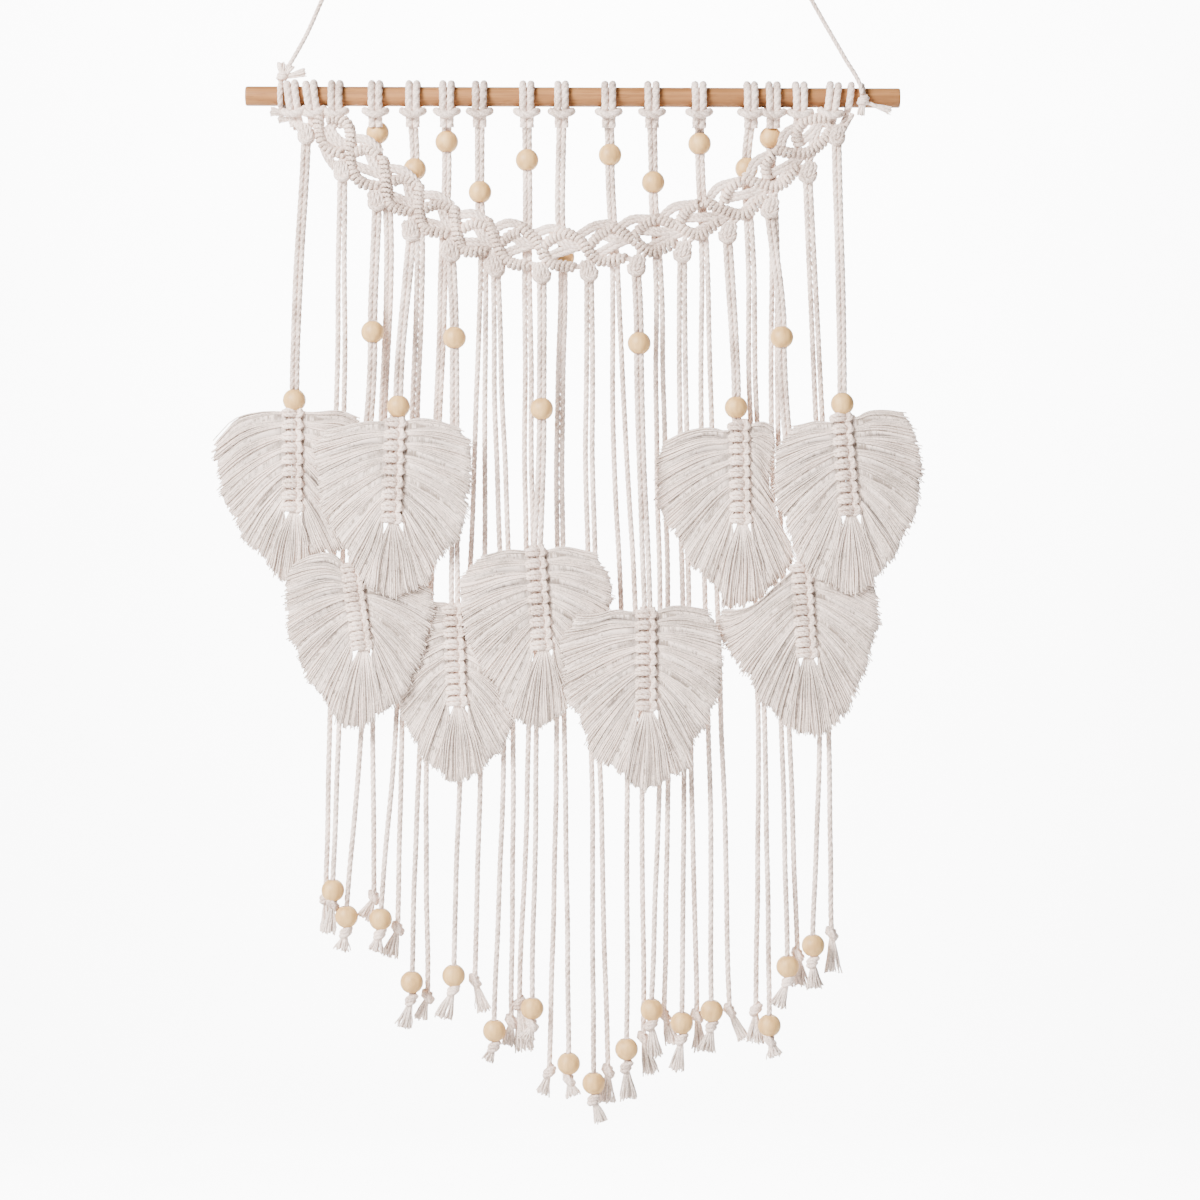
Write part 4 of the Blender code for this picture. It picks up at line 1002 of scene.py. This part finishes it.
# One leaf's combed cord: any thread's line from the spine to the cut edge
class Fan:
    def __init__(self, row):
        self.y = layerY[row["layer"]]
        self.top, self.foot = Vector(row["top"]), Vector(row["foot"])
        self.lines, self.runs, self.brows = {}, {}, {}
        for side, name, shoulder in ((-1, "left", row["shoulders"][0]), (1, "right", row["shoulders"][1])):
            line = smooth([(x, 0, z) for x, z in row[name][shoulder:] + [row["low"]]], 2.0)
            runs = [0.0]
            for a, b in zip(line, line[1:]):
                runs.append(runs[-1] + (b - a).length)
            self.lines[side], self.runs[side] = line, runs
            start = (self.top.x + side * 5.2, 0, self.top.y + 1.0)
            self.brows[side] = smooth([start] + [(x, 0, z) for x, z in row[name][:shoulder + 1]], 1.0)

    # A place along the cut edge
    def edge(self, side, share):
        line, runs = self.lines[side], self.runs[side]
        want = share * runs[-1]
        for index in range(1, len(runs)):
            if runs[index] >= want:
                share = (want - runs[index - 1]) / (runs[index] - runs[index - 1])
                return line[index - 1].lerp(line[index], share)
        return line[-1]

    # How far the leaf's top edge stands off the straight line to its shoulder
    def brow(self, side, t):
        line = self.brows[side]
        place = t * (len(line) - 1)
        index = min(len(line) - 2, int(place))
        return line[index].lerp(line[index + 1], place - index) - line[0].lerp(line[-1], t)

    # Side -1 or 1 leaves the spine's edge at that share of its height; side 0 is the foot
    def thread(self, side, share, reach):
        if side == 0:
            half = share * 2
            out = half - 1
            root = Vector((self.foot.x + 3.3 * out, self.y, self.foot.y - 3.0))
            cut = self.edge(-1, 0.84 + 0.16 * half) if half < 1 else self.edge(1, 1.0 - 0.16 * out)
            bulge = Vector((3.4 * out, 0, 0))
            browShare, arch, eye, rise = 0.0, 0.0, 0.0, Vector((0, 0, 1))
        else:
            along = (share * leafShape["knots"] + 0.5) % 1.0
            squeeze = (along - 0.5) * 0.5 / leafShape["knots"]
            root = self.top.lerp(self.foot, share * 1.01 + 0.005 - squeeze)
            root = Vector((root.x + leafShape["roots"][side], self.y, root.y + 1.0))
            cut = self.edge(side, share * 0.86)
            rise = Vector((side * 0.5 * share, 0, 1 - share * 0.5)).normalized()
            browShare = max(0.0, 1 - share / 0.55) ** 2
            arch = (cut - root).length * (0.045 * min(1.0, share / 0.3) + 0.01 * share)
            last = max(0.0, (share - 0.72) / 0.28) ** 1.5
            bulge = Vector((-side * 5.4 * last, 0, 0))
            eye = side * 1.4 * last ** 2  # leaves a small opening beside the last knot
        tip = root + (Vector((cut.x, self.y, cut.z)) - root) * reach
        spots = []
        for k in range(leafShape["steps"] + 1):
            t = rootward(k)
            bend = 4 * t * (1 - t) * (1 - 0.35 * t)
            early = 12 * (t * (1 - t)) ** 2
            drift = noise.noise_vector((t * 2.0, share * 9 + side * 9, self.y)) * 2.2 * t
            belly = -1.3 * math.sin(math.pi * min(1.0, t * 1.35)) + 1.6 * t * t
            spot = root.lerp(tip, t) + rise * arch * bend + bulge * early
            spot.x += eye * math.exp(-((t - 0.09) / 0.05) ** 2)
            if browShare:
                spot += self.brow(side, t) * browShare
            spots.append(spot + Vector((drift.x, drift.y * 0.9 + belly, drift.z)))
        return spots


# The combed cord as ridged sheets, one for each side and one for the foot. A colour layer on them holds
# painted shade: in the valleys between ridges, in the painted openings beside the knots and at the threads'
# roots by the spine
def combedSheet(row, fan):
    bm = bmesh.new()
    uv = bm.loops.layers.uv.new("threads")
    paintedShadeLayer = bm.verts.layers.float_color.new("depth")
    steps = leafShape["steps"]
    for side in (-1, 1, 0):
        ridges = leafShape["sideRidges" if side else "footRidges"]
        paintedOpening = paintedOpenings[side]
        columns = []
        reach = [1.0 - 0.05 * dice.random() ** 2 + 0.012 * dice.uniform(-1, 1) for _ in range(ridges + 1)]
        proud = [0.45 + 0.75 * dice.random() for _ in range(ridges + 1)]
        hollow = [dice.random() ** 2 for _ in range(ridges + 1)]
        for number in range(ridges * leafShape["columns"] + 1):
            place = number / leafShape["columns"]
            ridge = min(ridges - 1, int(place))
            within = place - ridge
            lift = math.sin(math.pi * within) if 0 < within < 1 else 0.0
            cut = reach[ridge] - 0.012 * (1 - lift)
            points = fan.thread(side, place / ridges, cut)
            # painted shade in the valleys between ridges
            valley = (1 - lift) ** 1.5 * (0.3 + 0.7 * hollow[ridge]) + 0.3 * hollow[ridge - 1]
            knot = (place / ridges * leafShape["knots"] + 0.5) % 1.0
            # painted shadow beside each knot, standing for a dark opening
            gap = paintedOpening["strength"] * math.exp(-((min(knot, 1 - knot) / paintedOpening["width"]) ** 2))
            column = []
            for k, p in enumerate(points):
                t = rootward(k)
                thick = 0.35 + proud[ridge] * lift * min(1.0, 0.5 + 2 * t)
                pair = [bm.verts.new((p + Vector((0, -front * thick, 0))) * mm) for front in (1, -1)]
                # painted shade: valleys, openings beside the knots and the roots at the spine
                paintedShade = max(valley * (1 - 0.6 * abs(2 * t - 0.9)),
                           gap * max(0.0, 1 - abs(t - paintedOpening["place"]) / 0.06),
                           0.55 * max(0.0, 1 - t / 0.06))
                for vert in pair:
                    vert[paintedShadeLayer] = (paintedShade, paintedShade, paintedShade, 1.0)
                column.append(pair)
            columns.append(column)
        for c, (first, second) in enumerate(zip(columns, columns[1:])):
            for k in range(steps):
                for front in (0, 1):
                    corners = [first[k][front], second[k][front], second[k + 1][front], first[k + 1][front]]
                    face = bm.faces.new(corners if front else corners[::-1])
                    spans = [(c, k), (c + 1, k), (c + 1, k + 1), (c, k + 1)]
                    for loop, (u, v) in zip(face.loops, spans if front else spans[::-1]):
                        loop[uv].uv = (u / leafShape["columns"] + 200 * (side + 1), v / steps)
            for k in (0, steps):
                bm.faces.new((first[k][0], second[k][0], second[k][1], first[k][1]))
        for edge in (columns[0], columns[-1]):
            for above, below in zip(edge, edge[1:]):
                bm.faces.new((above[0], below[0], below[1], above[1]))
    bmesh.ops.recalc_face_normals(bm, faces=bm.faces[:])
    return meshFrom(bm, f"{row['name']}_combed")


# Single threads that lie over the combed cord, front and back, and stand past its cut edge
def looseThreads(row, fan):
    curve = cordCurve(f"{row['name']}_threads", depth=leafShape["thread"])
    for side in (-1, 1, 0):
        count = leafShape["looseSide" if side else "looseFoot"]
        for front, some in ((1, count), (-1, count * 2 // 3)):
            for n in range(some):
                share = (n + dice.random()) / some
                if side:
                    knot = share * leafShape["knots"] + 0.5
                    share = max(0.0, math.floor(knot) + 0.16 + 0.68 * (knot % 1.0) - 0.5) / leafShape["knots"]
                points = fan.thread(side, share, 1.0 + 0.05 * (dice.random() - 0.6))
                lean, proud = dice.uniform(-1.8, 1.8), 1.5 * dice.random()
                spots = []
                for k, p in enumerate(points):
                    out = 0.8 + proud * min(1.0, 3 * k / len(points))
                    spots.append(p + Vector((lean * k / len(points), -front * out, 0)))
                lay(curve, spots, 1.0, pitch=None)
    return curve


for row in leafRows:
    shown(f"{row['name']}_spine", spineCurve(row), cordCotton, [row["name"]])
    fan = Fan(row)
    shown(f"{row['name']}_combed", combedSheet(row, fan), sheetCotton, [row["name"]])
    shown(f"{row['name']}_threads", looseThreads(row, fan), combedCotton, [row["name"]])
print("leaves made")
